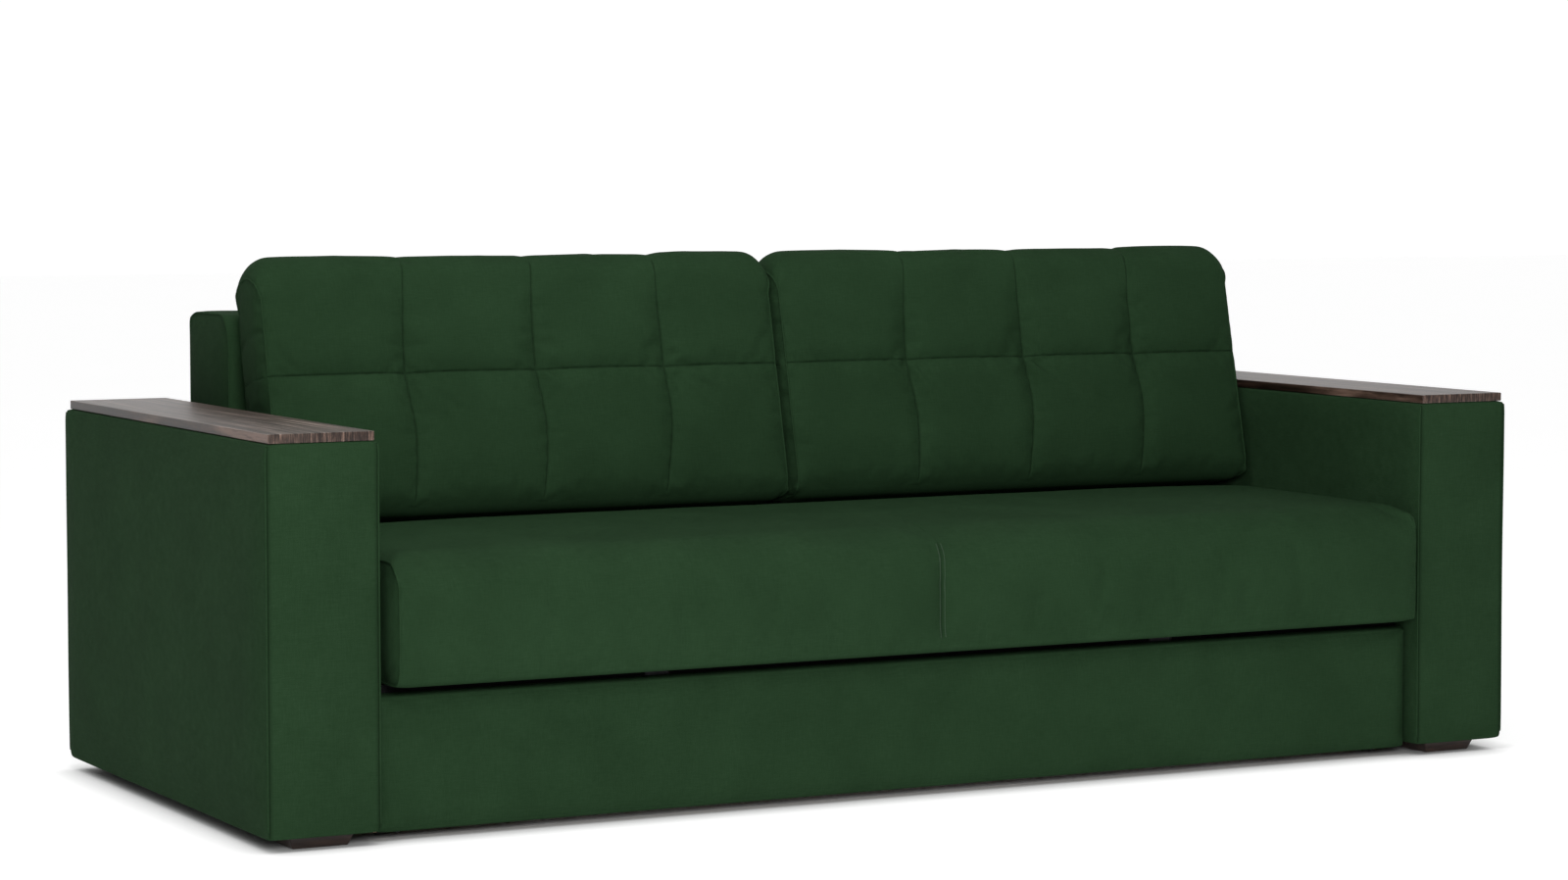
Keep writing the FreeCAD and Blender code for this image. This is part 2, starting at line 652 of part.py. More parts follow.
os.makedirs("parts", exist_ok=True)
for obj in nodes:
    obj.Shape.exportStep("parts/%s.step" % obj.Label)
    around = obj.Shape.BoundBox
    print("%-24s %8.1f %8.1f %8.1f  %8.1f %8.1f %8.1f  solids %d" % (
        obj.Label, around.XMin, around.YMin, around.ZMin, around.XMax, around.YMax, around.ZMax,
        len(obj.Shape.Solids)))
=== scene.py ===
import json
import math

import bmesh
import bpy
import numpy as np
from mathutils import Matrix, Vector, noise

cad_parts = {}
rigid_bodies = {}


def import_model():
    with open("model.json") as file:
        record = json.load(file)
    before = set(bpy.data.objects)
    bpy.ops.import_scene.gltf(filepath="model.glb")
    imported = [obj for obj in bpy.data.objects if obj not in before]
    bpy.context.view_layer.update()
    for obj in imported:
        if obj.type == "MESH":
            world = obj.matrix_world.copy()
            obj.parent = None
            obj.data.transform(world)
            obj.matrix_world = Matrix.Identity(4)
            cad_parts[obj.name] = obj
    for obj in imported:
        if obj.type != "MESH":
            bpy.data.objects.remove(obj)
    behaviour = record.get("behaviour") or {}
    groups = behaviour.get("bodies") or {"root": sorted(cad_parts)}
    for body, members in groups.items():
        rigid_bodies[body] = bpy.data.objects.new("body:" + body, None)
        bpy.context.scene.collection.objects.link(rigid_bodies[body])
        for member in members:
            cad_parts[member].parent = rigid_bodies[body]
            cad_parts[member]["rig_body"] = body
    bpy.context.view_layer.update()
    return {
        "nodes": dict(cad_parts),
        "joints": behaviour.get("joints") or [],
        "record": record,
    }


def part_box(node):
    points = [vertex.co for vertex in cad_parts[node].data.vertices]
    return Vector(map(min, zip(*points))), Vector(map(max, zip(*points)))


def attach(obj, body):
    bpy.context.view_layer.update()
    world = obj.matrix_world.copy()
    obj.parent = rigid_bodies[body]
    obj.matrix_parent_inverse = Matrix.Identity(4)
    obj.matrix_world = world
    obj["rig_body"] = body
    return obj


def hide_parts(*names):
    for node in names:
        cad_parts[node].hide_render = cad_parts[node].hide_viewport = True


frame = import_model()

# ---- Driving values, metres and radians, in the frame of the CAD.

CAMERA_PLACE = (-3.376, -6.325, 1.088)
CAMERA_HEADING = math.radians(27.84)
CAMERA_DIP = math.radians(4.03)
CAMERA_LENS = 91.36

SIDES = (("left", -1), ("right", 1))
NODES = frame["nodes"]
JOINTS = {joint["name"]: joint for joint in frame["joints"]}

FINE = (0.0016, 0.0048)      # grid lines each side of a seam, so that its crease is sharp
SIM_FRAMES = 20
ON_FACE = 1e-6               # how near a face of its block a grid point lies to be on it
ON_SURFACE = 1e-4            # the same after subdivision
SEAM_WIDTH = 0.0016          # half width of a sewn groove
THREAD_SPACING = 0.0016      # the weave's repeat
PAINTED_SEAM_SHADE = 0.34          # painted shade: how much darker the cloth is painted at the bottom of a seam


# ---- Materials

class Shader:
    """A material being wired. Inputs given as sockets are linked, others are set."""

    def __init__(self, name):
        self.material = bpy.data.materials.new(name)
        self.material.use_nodes = True
        self.tree = self.material.node_tree
        self.tree.nodes.clear()

    def add(self, kind, inputs=None, **settings):
        made = self.tree.nodes.new("ShaderNode" + kind)
        for key, value in settings.items():
            setattr(made, key, value)
        for key, value in (inputs or {}).items():
            if isinstance(value, bpy.types.NodeSocket):
                self.tree.links.new(value, made.inputs[key])
            else:
                made.inputs[key].default_value = value
        return made

    def math(self, operation, first, second=0.0, third=0.0):
        return self.add("Math", {0: first, 1: second, 2: third}, operation=operation).outputs[0]

    def place(self, scale=(1, 1, 1)):
        """Position in the piece's own frame, which is the CAD's at rest, times scale."""
        where = self.add("TexCoord").outputs["Object"]
        return self.add("VectorMath", {0: where, 1: scale}, operation="MULTIPLY").outputs[0]

    def cloud(self, vector, scale, detail=4.0, rough=0.55):
        made = self.add("TexNoise", {"Vector": vector, "Scale": scale, "Detail": detail, "Roughness": rough})
        return made.outputs["Fac"]

    def ramp(self, factor, stops):
        made = self.add("ValToRGB", {"Fac": factor})
        points = made.color_ramp.elements
        while len(points) < len(stops):
            points.new(0.5)
        for point, (place, colour) in zip(points, stops):
            point.position = place
            point.color = (*colour, 1.0)
        return made.outputs["Color"]

    def blend(self, factor, first, second, mode="MIX"):
        made = self.add("Mix", data_type="RGBA", blend_type=mode)
        for key, value in ((0, factor), (6, first), (7, second)):
            if isinstance(value, bpy.types.NodeSocket):
                self.tree.links.new(value, made.inputs[key])
            elif key == 0:
                made.inputs[key].default_value = value
            else:
                made.inputs[key].default_value = (*value, 1.0)
        return made.outputs[2]

    def bump(self, height, distance, strength=1.0, onto=None):
        inputs = {"Height": height, "Distance": distance, "Strength": strength}
        if onto is not None:
            inputs["Normal"] = onto
        return self.add("Bump", inputs).outputs["Normal"]

    def finish(self, **surface):
        """surface: Principled inputs, with spaces written as underscores."""
        inputs = {key.replace("_", " "): value for key, value in surface.items()}
        for key, value in inputs.items():
            if isinstance(value, tuple):
                inputs[key] = (*value, 1.0)
        body = self.add("BsdfPrincipled", inputs)
        self.add("OutputMaterial", {"Surface": body.outputs[0]})
        return self.material


def fabric():
    """Fine plain-weave upholstery cloth: crossed threads, slubs, faint mottling, short fuzz, and painted
    shade at the bottom of its seams.
    """
    s = Shader("green_weave")
    thread = 2 * math.pi / THREAD_SPACING
    where = s.place()
    axes = s.add("SeparateXYZ", {"Vector": where})
    facing = s.add("SeparateXYZ", {"Vector": s.add("TexCoord").outputs["Normal"]})
    waves = [s.math("SINE", s.math("MULTIPLY", axes.outputs[i], thread)) for i in range(3)]
    share = [s.math("POWER", s.math("ABSOLUTE", facing.outputs[i]), 3.0) for i in range(3)]
    crossed = [s.math("MULTIPLY", waves[(i + 1) % 3], waves[(i + 2) % 3]) for i in range(3)]
    weave = s.math("MULTIPLY", share[0], crossed[0])
    for i in (1, 2):
        weave = s.math("MULTIPLY_ADD", share[i], crossed[i], weave)
    across = s.cloud(s.place((60, 60, 900)), 1.0, 3.0)
    along = s.cloud(s.place((900, 60, 60)), 1.0, 3.0)
    slub = s.math("ADD", across, along)
    mottle = s.cloud(where, 9.0, 5.0)
    wear = s.cloud(where, 2.3, 2.0)
    deep = (0.0100, 0.0272, 0.0104)
    plain = (0.0155, 0.0378, 0.0161)
    pale = (0.0236, 0.0510, 0.0244)
    base = s.ramp(s.math("MULTIPLY_ADD", slub, 0.5, 0.0), [(0.30, deep), (0.52, plain), (0.78, pale)])
    threads = s.ramp(s.math("MULTIPLY_ADD", weave, 0.5, 0.5), [(0.0, deep), (1.0, pale)])
    colour = s.blend(0.35, base, threads)
    shade = s.ramp(mottle, [(0.3, (0.90, 0.91, 0.90)), (0.7, (1.07, 1.06, 1.07))])
    colour = s.blend(1.0, colour, shade, "MULTIPLY")
    rubbed = s.ramp(wear, [(0.35, (0.97, 0.97, 0.97)), (0.65, (1.04, 1.04, 1.04))])
    colour = s.blend(1.0, colour, rubbed, "MULTIPLY")
    # Painted shade: the cloth is darkened toward a dark green where the 'crease' attribute marks the bottom
    # of a seam.
    crease = s.add("Attribute", attribute_name="crease").outputs["Fac"]
    colour = s.blend(s.math("MULTIPLY", crease, PAINTED_SEAM_SHADE), colour, (0.002, 0.005, 0.002))
    fine = s.bump(weave, 0.00022, 0.55)
    coarse = s.bump(slub, 0.0004, 0.35, fine)
    soft = s.bump(s.cloud(where, 28.0, 3.0), 0.0016, 0.30, coarse)
    rough = s.math("MULTIPLY_ADD", mottle, 0.12, 0.82)
    return s.finish(Base_Color=colour, Roughness=rough, Normal=soft, Specular_IOR_Level=0.02,
                    Sheen_Weight=0.006, Sheen_Roughness=0.5, Sheen_Tint=(0.50, 0.90, 0.52))


def laminate():
    """Dark walnut laminate with its grain along the arm."""
    s = Shader("dark_walnut")
    wander = s.cloud(s.place((4, 1.2, 2)), 1.0, 2.0)
    stretched = s.place((320, 3.2, 30))
    shifted = s.add("VectorMath", {0: stretched, 1: wander}, operation="ADD").outputs[0]
    grain = s.cloud(shifted, 1.0, 6.0, 0.62)
    pores = s.cloud(s.place((900, 16, 160)), 1.0, 2.0)
    broad = s.cloud(s.place((16, 1.1, 5)), 1.0, 3.0)
    colour = s.ramp(grain, [
        (0.38, (0.012, 0.006, 0.004)), (0.47, (0.044, 0.030, 0.023)),
        (0.55, (0.108, 0.081, 0.066)), (0.64, (0.230, 0.178, 0.150)),
    ])
    tone = s.ramp(broad, [(0.3, (0.80, 0.79, 0.80)), (0.7, (1.16, 1.14, 1.16))])
    colour = s.blend(1.0, colour, tone, "MULTIPLY")
    dark_pores = s.ramp(pores, [(0.36, (0.45, 0.42, 0.40)), (0.46, (1.0, 1.0, 1.0))])
    colour = s.blend(0.8, colour, dark_pores, "MULTIPLY")
    upward = s.add("SeparateXYZ", {"Vector": s.add("TexCoord").outputs["Normal"]}).outputs[2]
    edge = s.math("SUBTRACT", 1.0, s.math("ABSOLUTE", upward))
    colour = s.blend(edge, colour, s.blend(1.0, colour, (0.62, 0.50, 0.44), "MULTIPLY"))
    normal = s.bump(s.math("MINIMUM", pores, 0.5), 0.0004, 0.5)
    rough = s.math("MULTIPLY_ADD", grain, 0.18, 0.34)
    return s.finish(Base_Color=colour, Roughness=rough, Normal=normal, Specular_IOR_Level=0.34)


def stained():
    """Dark stained wood of the feet, rubbed a little lighter in places."""
    s = Shader("dark_stain")
    grain = s.cloud(s.place((25, 160, 160)), 1.0, 5.0)
    colour = s.ramp(grain, [(0.3, (0.010, 0.006, 0.005)), (0.7, (0.038, 0.022, 0.017))])
    rub = s.ramp(s.cloud(s.place(), 30.0, 3.0), [(0.55, (1, 1, 1)), (0.8, (1.7, 1.6, 1.5))])
    colour = s.blend(1.0, colour, rub, "MULTIPLY")
    return s.finish(Base_Color=colour, Roughness=s.math("MULTIPLY_ADD", grain, 0.2, 0.35),
                    Normal=s.bump(grain, 0.0004, 0.4))


def softwood():
    """Planed pine: growth lines, a few knots and planer marks."""
    s = Shader("pine")
    bend = s.cloud(s.place((1.5, 1.5, 1.5)), 1.0, 2.0)
    rings = s.add("TexWave", {"Vector": s.place((1.0, 1.0, 8.0)), "Scale": 6.0, "Distortion": 5.0,
                              "Detail": 3.0, "Detail Scale": 1.2},
                  wave_type="BANDS", bands_direction="DIAGONAL")
    colour = s.ramp(rings.outputs["Fac"], [(0.0, (0.46, 0.29, 0.14)), (0.7, (0.62, 0.44, 0.25)),
                                           (1.0, (0.36, 0.20, 0.09))])
    knots = s.add("TexVoronoi", {"Vector": s.place(), "Scale": 3.2}).outputs["Distance"]
    spot = s.ramp(knots, [(0.03, (0.20, 0.10, 0.05)), (0.07, (1, 1, 1))])
    colour = s.blend(0.85, colour, spot, "MULTIPLY")
    tone = s.ramp(bend, [(0.3, (0.86, 0.84, 0.82)), (0.7, (1.08, 1.06, 1.04))])
    colour = s.blend(1.0, colour, tone, "MULTIPLY")
    fibres = s.cloud(s.place((30, 30, 900)), 1.0, 3.0)
    return s.finish(Base_Color=colour, Roughness=0.62, Normal=s.bump(fibres, 0.0005, 0.4))


def chipboard():
    """Pressed chips of several browns, with a coarse face."""
    s = Shader("chipboard")
    warped = s.add("VectorMath", {0: s.place(), 1: s.cloud(s.place(), 60.0)}, operation="ADD").outputs[0]
    chips = s.add("TexVoronoi", {"Vector": warped, "Scale": 190.0, "Randomness": 1.0})
    tint = s.ramp(s.add("SeparateColor", {"Color": chips.outputs["Color"]}).outputs[0], [
        (0.0, (0.28, 0.19, 0.10)), (0.4, (0.44, 0.32, 0.19)),
        (0.75, (0.56, 0.43, 0.28)), (1.0, (0.36, 0.24, 0.13)),
    ])
    tone = s.ramp(s.cloud(s.place(), 12.0), [(0.3, (0.88, 0.88, 0.88)), (0.7, (1.08, 1.08, 1.08))])
    colour = s.blend(1.0, tint, tone, "MULTIPLY")
    return s.finish(Base_Color=colour, Roughness=0.8, Normal=s.bump(chips.outputs["Distance"], 0.0006, 0.5))


def black_steel():
    """Black powder coat with an orange-peel surface and worn bright edges."""
    s = Shader("black_steel")
    peel = s.cloud(s.place(), 700.0, 2.0)
    scuff = s.cloud(s.place(), 55.0, 6.0, 0.7)
    worn = s.ramp(scuff, [(0.66, (0, 0, 0)), (0.74, (1, 1, 1))])
    amount = s.add("SeparateColor", {"Color": worn}).outputs[0]
    colour = s.blend(amount, (0.020, 0.020, 0.022), (0.22, 0.22, 0.22))
    return s.finish(Base_Color=colour, Roughness=s.math("MULTIPLY_ADD", scuff, 0.25, 0.32), Metallic=0.55,
                    Normal=s.bump(peel, 0.0002, 0.35))


def bright_steel():
    """Zinc-plated steel of screws, pins and staples."""
    s = Shader("zinc_steel")
    brushed = s.cloud(s.place((2200, 60, 60)), 1.0, 2.0)
    colour = s.ramp(brushed, [(0.3, (0.46, 0.46, 0.45)), (0.7, (0.66, 0.66, 0.64))])
    return s.finish(Base_Color=colour, Metallic=1.0, Roughness=s.math("MULTIPLY_ADD", brushed, 0.2, 0.25),
                    Normal=s.bump(brushed, 0.0001, 0.3))


def rubber():
    """Grey-black rubber tread, dusty in patches."""
    s = Shader("wheel_rubber")
    dust = s.cloud(s.place(), 70.0, 4.0)
    colour = s.ramp(dust, [(0.4, (0.014, 0.014, 0.014)), (0.75, (0.07, 0.068, 0.062))])
    tread = s.cloud(s.place(), 900.0, 2.0)
    return s.finish(Base_Color=colour, Roughness=0.75, Normal=s.bump(tread, 0.0002, 0.5))


def moulded():
    """Black moulded plastic with a fine spark-eroded grain."""
    s = Shader("black_plastic")
    grain = s.cloud(s.place(), 1200.0, 2.0)
    tone = s.ramp(s.cloud(s.place(), 20.0), [(0.3, (0.014, 0.014, 0.015)), (0.7, (0.024, 0.024, 0.025))])
    return s.finish(Base_Color=tone, Roughness=0.5, Normal=s.bump(grain, 0.00015, 0.5))


def thread():
    """Sewing thread, a shade lighter than the cloth, with its twist."""
    s = Shader("green_thread")
    twist = s.add("TexWave", {"Vector": s.place((1, 1, 1)), "Scale": 600.0}, bands_direction="DIAGONAL")
    colour = s.ramp(twist.outputs["Fac"], [(0.0, (0.024, 0.052, 0.026)), (1.0, (0.050, 0.095, 0.053))])
    return s.finish(Base_Color=colour, Roughness=0.6, Sheen_Weight=0.2,
                    Normal=s.bump(twist.outputs["Fac"], 0.0001, 0.6))


def dust_cloth_and_shade_sheet():
    """Black non-woven cloth under the seat and the arms, also used for the black strips that stand in for
    the shade in the gap over the apron.
    """
    s = Shader("dust_cloth_and_shade_sheet")
    fibres = s.cloud(s.place((500, 500, 500)), 1.0, 5.0, 0.75)
    colour = s.ramp(fibres, [(0.35, (0.003, 0.003, 0.003)), (0.7, (0.013, 0.013, 0.014))])
    return s.finish(Base_Color=colour, Roughness=0.95, Specular_IOR_Level=0.05,
                    Normal=s.bump(fibres, 0.0004, 0.8))


def glowing_floor():
    """Plain pale floor that glows so that shadows on it stay light; ambient occlusion takes the glow away
    close under the sofa, which paints the shade there.
    """
    s = Shader("pale_glowing_floor")
    close = s.add("AmbientOcclusion", {"Distance": 0.07}, samples=8).outputs["AO"]
    wide = s.add("AmbientOcclusion", {"Distance": 0.32}, samples=8).outputs["AO"]
    outside = s.add("MapRange", {0: wide, 1: 0.16, 2: 0.44, 3: 0.0, 4: 1.0}).outputs[0]
    # Painted light: the floor glows, less where the sofa is near, which paints a dark contact shade under
    # it.
    glow = s.math("MULTIPLY", s.math("MULTIPLY", outside, close), 0.70)
    tone = s.ramp(s.cloud(s.place(), 1.5), [(0.3, (0.54, 0.54, 0.54)), (0.7, (0.56, 0.56, 0.56))])
    return s.finish(Base_Color=tone, Roughness=0.9, Specular_IOR_Level=0.1,
                    Emission_Color=(1.0, 1.0, 1.0), Emission_Strength=glow)


FABRIC = fabric()
LAMINATE = laminate()
STAINED = stained()
SOFTWOOD = softwood()
CHIPBOARD = chipboard()
BLACK_STEEL = black_steel()
BRIGHT_STEEL = bright_steel()
RUBBER = rubber()
MOULDED = moulded()
THREAD = thread()
DUST_CLOTH_AND_SHADE_SHEET = dust_cloth_and_shade_sheet()
BY_SLOT = {
    "green_fabric": FABRIC, "dark_laminate": LAMINATE, "dark_foot": STAINED, "timber": SOFTWOOD,
    "chipboard": CHIPBOARD, "steel": BLACK_STEEL, "wheel_rubber": RUBBER, "zip_tape": MOULDED,
}


# ---- Mesh helpers

def axis_lines(low, high, cell, seams=()):
    """Grid lines from low to high about a cell apart, closer on each side of every seam."""
    keep = {low, high}
    for seam in seams:
        keep.update(seam + side * step for step in FINE for side in (-1, 1))
        keep.add(seam)
    keep = sorted(v for v in keep if low - 1e-9 <= v <= high + 1e-9)
    lines = [keep[0]]
    for near, far in zip(keep, keep[1:]):
        count = max(1, round((far - near) / cell))
        lines += [near + (far - near) * (i + 1) / count for i in range(count)]
    return np.array(lines)


def shell_grid(lines):
    """Points and quads of a block's surface, from its grid lines along three axes."""
    size = [len(line) - 1 for line in lines]
    index = {}
    points = []

    def corner(key):
        if key not in index:
            index[key] = len(points)
            points.append([lines[axis][key[axis]] for axis in range(3)])
        return index[key]

    quads = []
    for axis in range(3):
        one, two = (axis + 1) % 3, (axis + 2) % 3
        for end in (0, size[axis]):
            for i in range(size[one]):
                for j in range(size[two]):
                    ring = []
                    for di, dj in ((0, 0), (1, 0), (1, 1), (0, 1)):
                        key = [0, 0, 0]
                        key[axis], key[one], key[two] = end, i + di, j + dj
                        ring.append(corner(tuple(key)))
                    quads.append(ring if end else ring[::-1])
    return np.array(points), quads


def block_grid(low, high, cells, seams):
    """A block's grid points and quads, from a cell size and the seams on each axis."""
    return shell_grid([axis_lines(low[i], high[i], cells[i], seams[i]) for i in range(3)])


def round_corners(points, low, high, one, two, radii):
    """Round a block's edges that run along the third axis. radii: {(sign, sign): radius}."""
    for (sign_one, sign_two), radius in radii.items():
        middle_one = (high[one] - radius) if sign_one > 0 else (low[one] + radius)
        middle_two = (high[two] - radius) if sign_two > 0 else (low[two] + radius)
        u = (points[:, one] - middle_one) * sign_one / radius
        v = (points[:, two] - middle_two) * sign_two / radius
        at = (u > 0) & (v > 0)
        reach = np.hypot(u[at], v[at])
        shrink = np.maximum(u[at], v[at]) / reach
        points[at, one] = middle_one + sign_one * u[at] * shrink * radius
        points[at, two] = middle_two + sign_two * v[at] * shrink * radius
    return points


def smooth(x, start, end):
    """0 before start, 1 after end, eased between."""
    part = np.clip((x - start) / (end - start), 0, 1)
    return part * part * (3 - 2 * part)


def near(x, middle, width):
    return np.exp(-((x - middle) / width) ** 2)


def slope_ends(points, low, high, radius):
    """Lower a block's top toward both ends of its length, as a quarter circle would."""
    from_end = (high[0] - low[0]) / 2 - np.abs(points[:, 0] - (low[0] + high[0]) / 2)
    into = np.clip(1 - from_end / radius, 0, 1)
    height = (points[:, 2] - low[2]) / (high[2] - low[2])
    share = 1 - 2 * from_end / (high[0] - low[0])
    drop = radius * (1 - np.sqrt(1 - into ** 2)) + 0.006 * share ** 4
    points[:, 2] -= drop * smooth(height, 0.6, 1.0)


def add_object(name, mesh, material):
    """A new object in the scene for mesh, in one material."""
    mesh.materials.clear()
    mesh.materials.append(material)
    made = bpy.data.objects.new(name, mesh)
    bpy.context.scene.collection.objects.link(made)
    return made


def mesh_object(name, points, faces, material):
    mesh = bpy.data.meshes.new(name)
    mesh.from_pydata([tuple(p) for p in points], [], [tuple(f) for f in faces])
    mesh.polygons.foreach_set("use_smooth", [True] * len(mesh.polygons))
    mesh.update()
    return add_object(name, mesh, material)


def form_object(name, form, material):
    """An object from a bmesh, which is freed."""
    mesh = bpy.data.meshes.new(name)
    form.to_mesh(mesh)
    form.free()
    return add_object(name, mesh, material)


def coordinates(mesh):
    out = np.zeros(len(mesh.vertices) * 3)
    mesh.vertices.foreach_get("co", out)
    return out.reshape(-1, 3)


def put_coordinates(mesh, points):
    mesh.vertices.foreach_set("co", points.ravel())
    mesh.update()


def ripples(points, size, seed):
    """Smooth random lengths for points, from -1 to 1."""
    shift = Vector((seed * 7.31, seed * 3.17, seed * 5.73))
    return np.array([noise.noise(Vector(p) / size + shift) for p in points])


def inflate(obj, held, pressure, cap, slack=0.02, stiff=14.0, bend=0.8):
    """Swell obj as stuffed cloth. held: 0 to 1 for each point; cap: how far each may move."""
    start = coordinates(obj.data)
    group = obj.vertex_groups.new(name="held")
    for level in np.unique(np.round(held, 2)):
        if level > 0:
            group.add([int(i) for i in np.flatnonzero(np.round(held, 2) == level)], float(level), "REPLACE")
    cloth = obj.modifiers.new("swell", "CLOTH")
    how = cloth.settings
    how.quality = 5
    how.mass = 0.3
    how.tension_stiffness = stiff
    how.compression_stiffness = stiff
    how.shear_stiffness = stiff / 3
    how.bending_stiffness = bend
    how.use_pressure = True
    how.uniform_pressure_force = pressure
    how.shrink_min = -slack
    how.vertex_group_mass = "held"
    how.effector_weights.gravity = 0
    cloth.point_cache.frame_end = SIM_FRAMES
    for step in range(1, SIM_FRAMES + 1):
        bpy.context.scene.frame_set(step)
    posed = obj.evaluated_get(bpy.context.evaluated_depsgraph_get())
    moved = coordinates(posed.to_mesh()) - start
    posed.to_mesh_clear()
    obj.modifiers.remove(cloth)
    bpy.context.scene.frame_set(1)
    length = np.linalg.norm(moved, axis=1)
    limit = np.maximum(cap, 1e-6)
    soft = limit * np.tanh(length / limit)
    put_coordinates(obj.data, start + moved * (soft / np.maximum(length, 1e-9))[:, None])
    obj.vertex_groups.clear()


def refine(obj, levels=1):
    """Subdivide and apply, keeping the 'rest' coordinates on the new points."""
    finer = obj.modifiers.new("finer", "SUBSURF")
    finer.levels = levels
    finer.render_levels = levels
    posed = obj.evaluated_get(bpy.context.evaluated_depsgraph_get())
    mesh = bpy.data.meshes.new_from_object(posed)
    obj.modifiers.clear()
    old = obj.data
    obj.data = mesh
    bpy.data.meshes.remove(old)
    mesh.polygons.foreach_set("use_smooth", [True] * len(mesh.polygons))


def remember(obj, points):
    """Keep each point's place on the unrounded block, to find seams again after refining."""
    kept = obj.data.attributes.new("rest", "FLOAT_VECTOR", "POINT")
    kept.data.foreach_set("vector", np.asarray(points, float).ravel())


def recall(obj):
    out = np.zeros(len(obj.data.vertices) * 3)
    obj.data.attributes["rest"].data.foreach_get("vector", out)
    return out.reshape(-1, 3)


def mark_painted_seam_shade(obj, depth):
    """How deep in a seam each point lies, 0 to 1, kept as 'crease'; the cloth material paints shade there.
    """
    kept = obj.data.attributes.new("crease", "FLOAT", "POINT")
    kept.data.foreach_set("value", np.asarray(depth, np.float32))


def seam_points(obj, rest, fixed, along):
    """Points of obj along a seam. fixed: {axis: value} on the block; along: the axis it runs on."""
    points = coordinates(obj.data)
    hit = np.ones(len(points), bool)
    for axis, value in fixed.items():
        hit &= np.abs(rest[:, axis] - value) < 2e-5
    order = np.argsort(rest[hit][:, along])
    return points[hit][order]


def tube(name, path, radius, material, sides=8, closed=False):
    """A round welt or thread along path."""
    path = np.asarray(path)
    count = len(path)
    ahead = np.roll(path, -1, 0) - np.roll(path, 1, 0)
    if not closed:
        ahead[0] = path[1] - path[0]
        ahead[-1] = path[-1] - path[-2]
    ahead /= np.maximum(np.linalg.norm(ahead, axis=1), 1e-12)[:, None]
    up = np.cross(ahead[0], (0.3, 0.5, 0.81))
    points = []
    for here, way in zip(path, ahead):
        up = up - way * np.dot(up, way)
        up /= np.linalg.norm(up)
        other = np.cross(way, up)
        for k in range(sides):
            turn = 2 * math.pi * k / sides
            points.append(here + radius * (math.cos(turn) * up + math.sin(turn) * other))
    faces = []
    rings = count if closed else count - 1
    for i in range(rings):
        for k in range(sides):
            a, b = i * sides + k, i * sides + (k + 1) % sides
            c, d = ((i + 1) % count) * sides + (k + 1) % sides, ((i + 1) % count) * sides + k
            faces.append((a, b, c, d))
    if not closed:
        faces.append(tuple(range(sides))[::-1])
        faces.append(tuple((count - 1) * sides + k for k in range(sides)))
    return mesh_object(name, points, faces, material)


def resampled(path, step):
    """The path again, its points a step apart."""
    path = np.asarray(path)
    run = np.concatenate([[0], np.cumsum(np.linalg.norm(np.diff(path, axis=0), axis=1))])
    count = max(2, int(run[-1] / step) + 1)
    at = np.linspace(0, run[-1], count)
    return np.stack([np.interp(at, run, path[:, i]) for i in range(3)], 1)


def stitches(name, paths, proud, pitch=0.0042, length=0.0030, radius=0.00042):
    """Sewn stitches along paths, each a short capsule standing a little proud."""
    points = []
    faces = []
    for path in paths:
        dense = resampled(path, pitch) + proud
        for here, there in zip(dense, dense[1:]):
            way = there - here
            span = np.linalg.norm(way)
            if span < 1e-6:
                continue
            way /= span
            side = np.cross(way, (0.21, 0.37, 0.9))
            side /= np.linalg.norm(side)
            other = np.cross(way, side)
            first = len(points)
            for part, width in ((0.0, 0.35), (0.25, 1.0), (0.75, 1.0), (1.0, 0.35)):
                for k in range(5):
                    turn = 2 * math.pi * k / 5
                    ring = radius * width * (math.cos(turn) * side + math.sin(turn) * other)
                    points.append(here + way * length * part + ring)
            for ring in range(3):
                for k in range(5):
                    a, b = first + ring * 5 + k, first + ring * 5 + (k + 1) % 5
                    faces.append((a, b, b + 5, a + 5))
            faces.append(tuple(first + k for k in range(5))[::-1])
            faces.append(tuple(first + 15 + k for k in range(5)))
    return mesh_object(name, points, faces, THREAD)


def eased(node_name, material, width=0.0012, segments=2):
    """The CAD node again, with its sharp edges broken as on a real board or plate."""
    source = NODES[node_name]
    form = bmesh.new()
    form.from_mesh(source.data)
    bmesh.ops.remove_doubles(form, verts=form.verts, dist=1e-6)
    bmesh.ops.dissolve_limit(form, angle_limit=math.radians(1), verts=form.verts, edges=form.edges)
    sharp = [e for e in form.edges if len(e.link_faces) == 2 and e.calc_face_angle(0) > math.radians(40)]
    bmesh.ops.bevel(form, geom=sharp, offset=width, segments=segments, affect="EDGES", profile=0.6,
                    clamp_overlap=True)
    made = form_object(node_name + "_piece", form, material)
    made.data.polygons.foreach_set("use_smooth", [True] * len(made.data.polygons))
    made.data.set_sharp_from_angle(angle=math.radians(35))
    return made


def settle(piece, body, slot, *nodes):
    """The piece rides its body and stands for its nodes; slot is not used."""
    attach(piece, body)
    if nodes:
        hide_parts(*nodes)
    return piece


# ---- Padded pieces

def block_of(node_name):
    low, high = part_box(node_name)
    return np.array(low), np.array(high)


def block_faces(rest, low, high):
    """Which grid points lie on a block's front, rear, foot and top, and on its two ends."""
    middle = (low[0] + high[0]) / 2
    end = np.abs(rest[:, 0] - middle) > high[0] - middle - ON_FACE
    return (rest[:, 1] < low[1] + ON_FACE, rest[:, 1] > high[1] - ON_FACE,
            rest[:, 2] < low[2] + ON_FACE, rest[:, 2] > high[2] - ON_FACE, end)


def swollen(name, rest, points, quads, held, pressure, cap, **cloth):
    """A cover swelled and refined, with its points' places on the block and in the scene."""
    piece = mesh_object(name, points, quads, FABRIC)
    remember(piece, rest)
    inflate(piece, held, pressure, cap, **cloth)
    refine(piece)
    return piece, recall(piece), coordinates(piece.data)


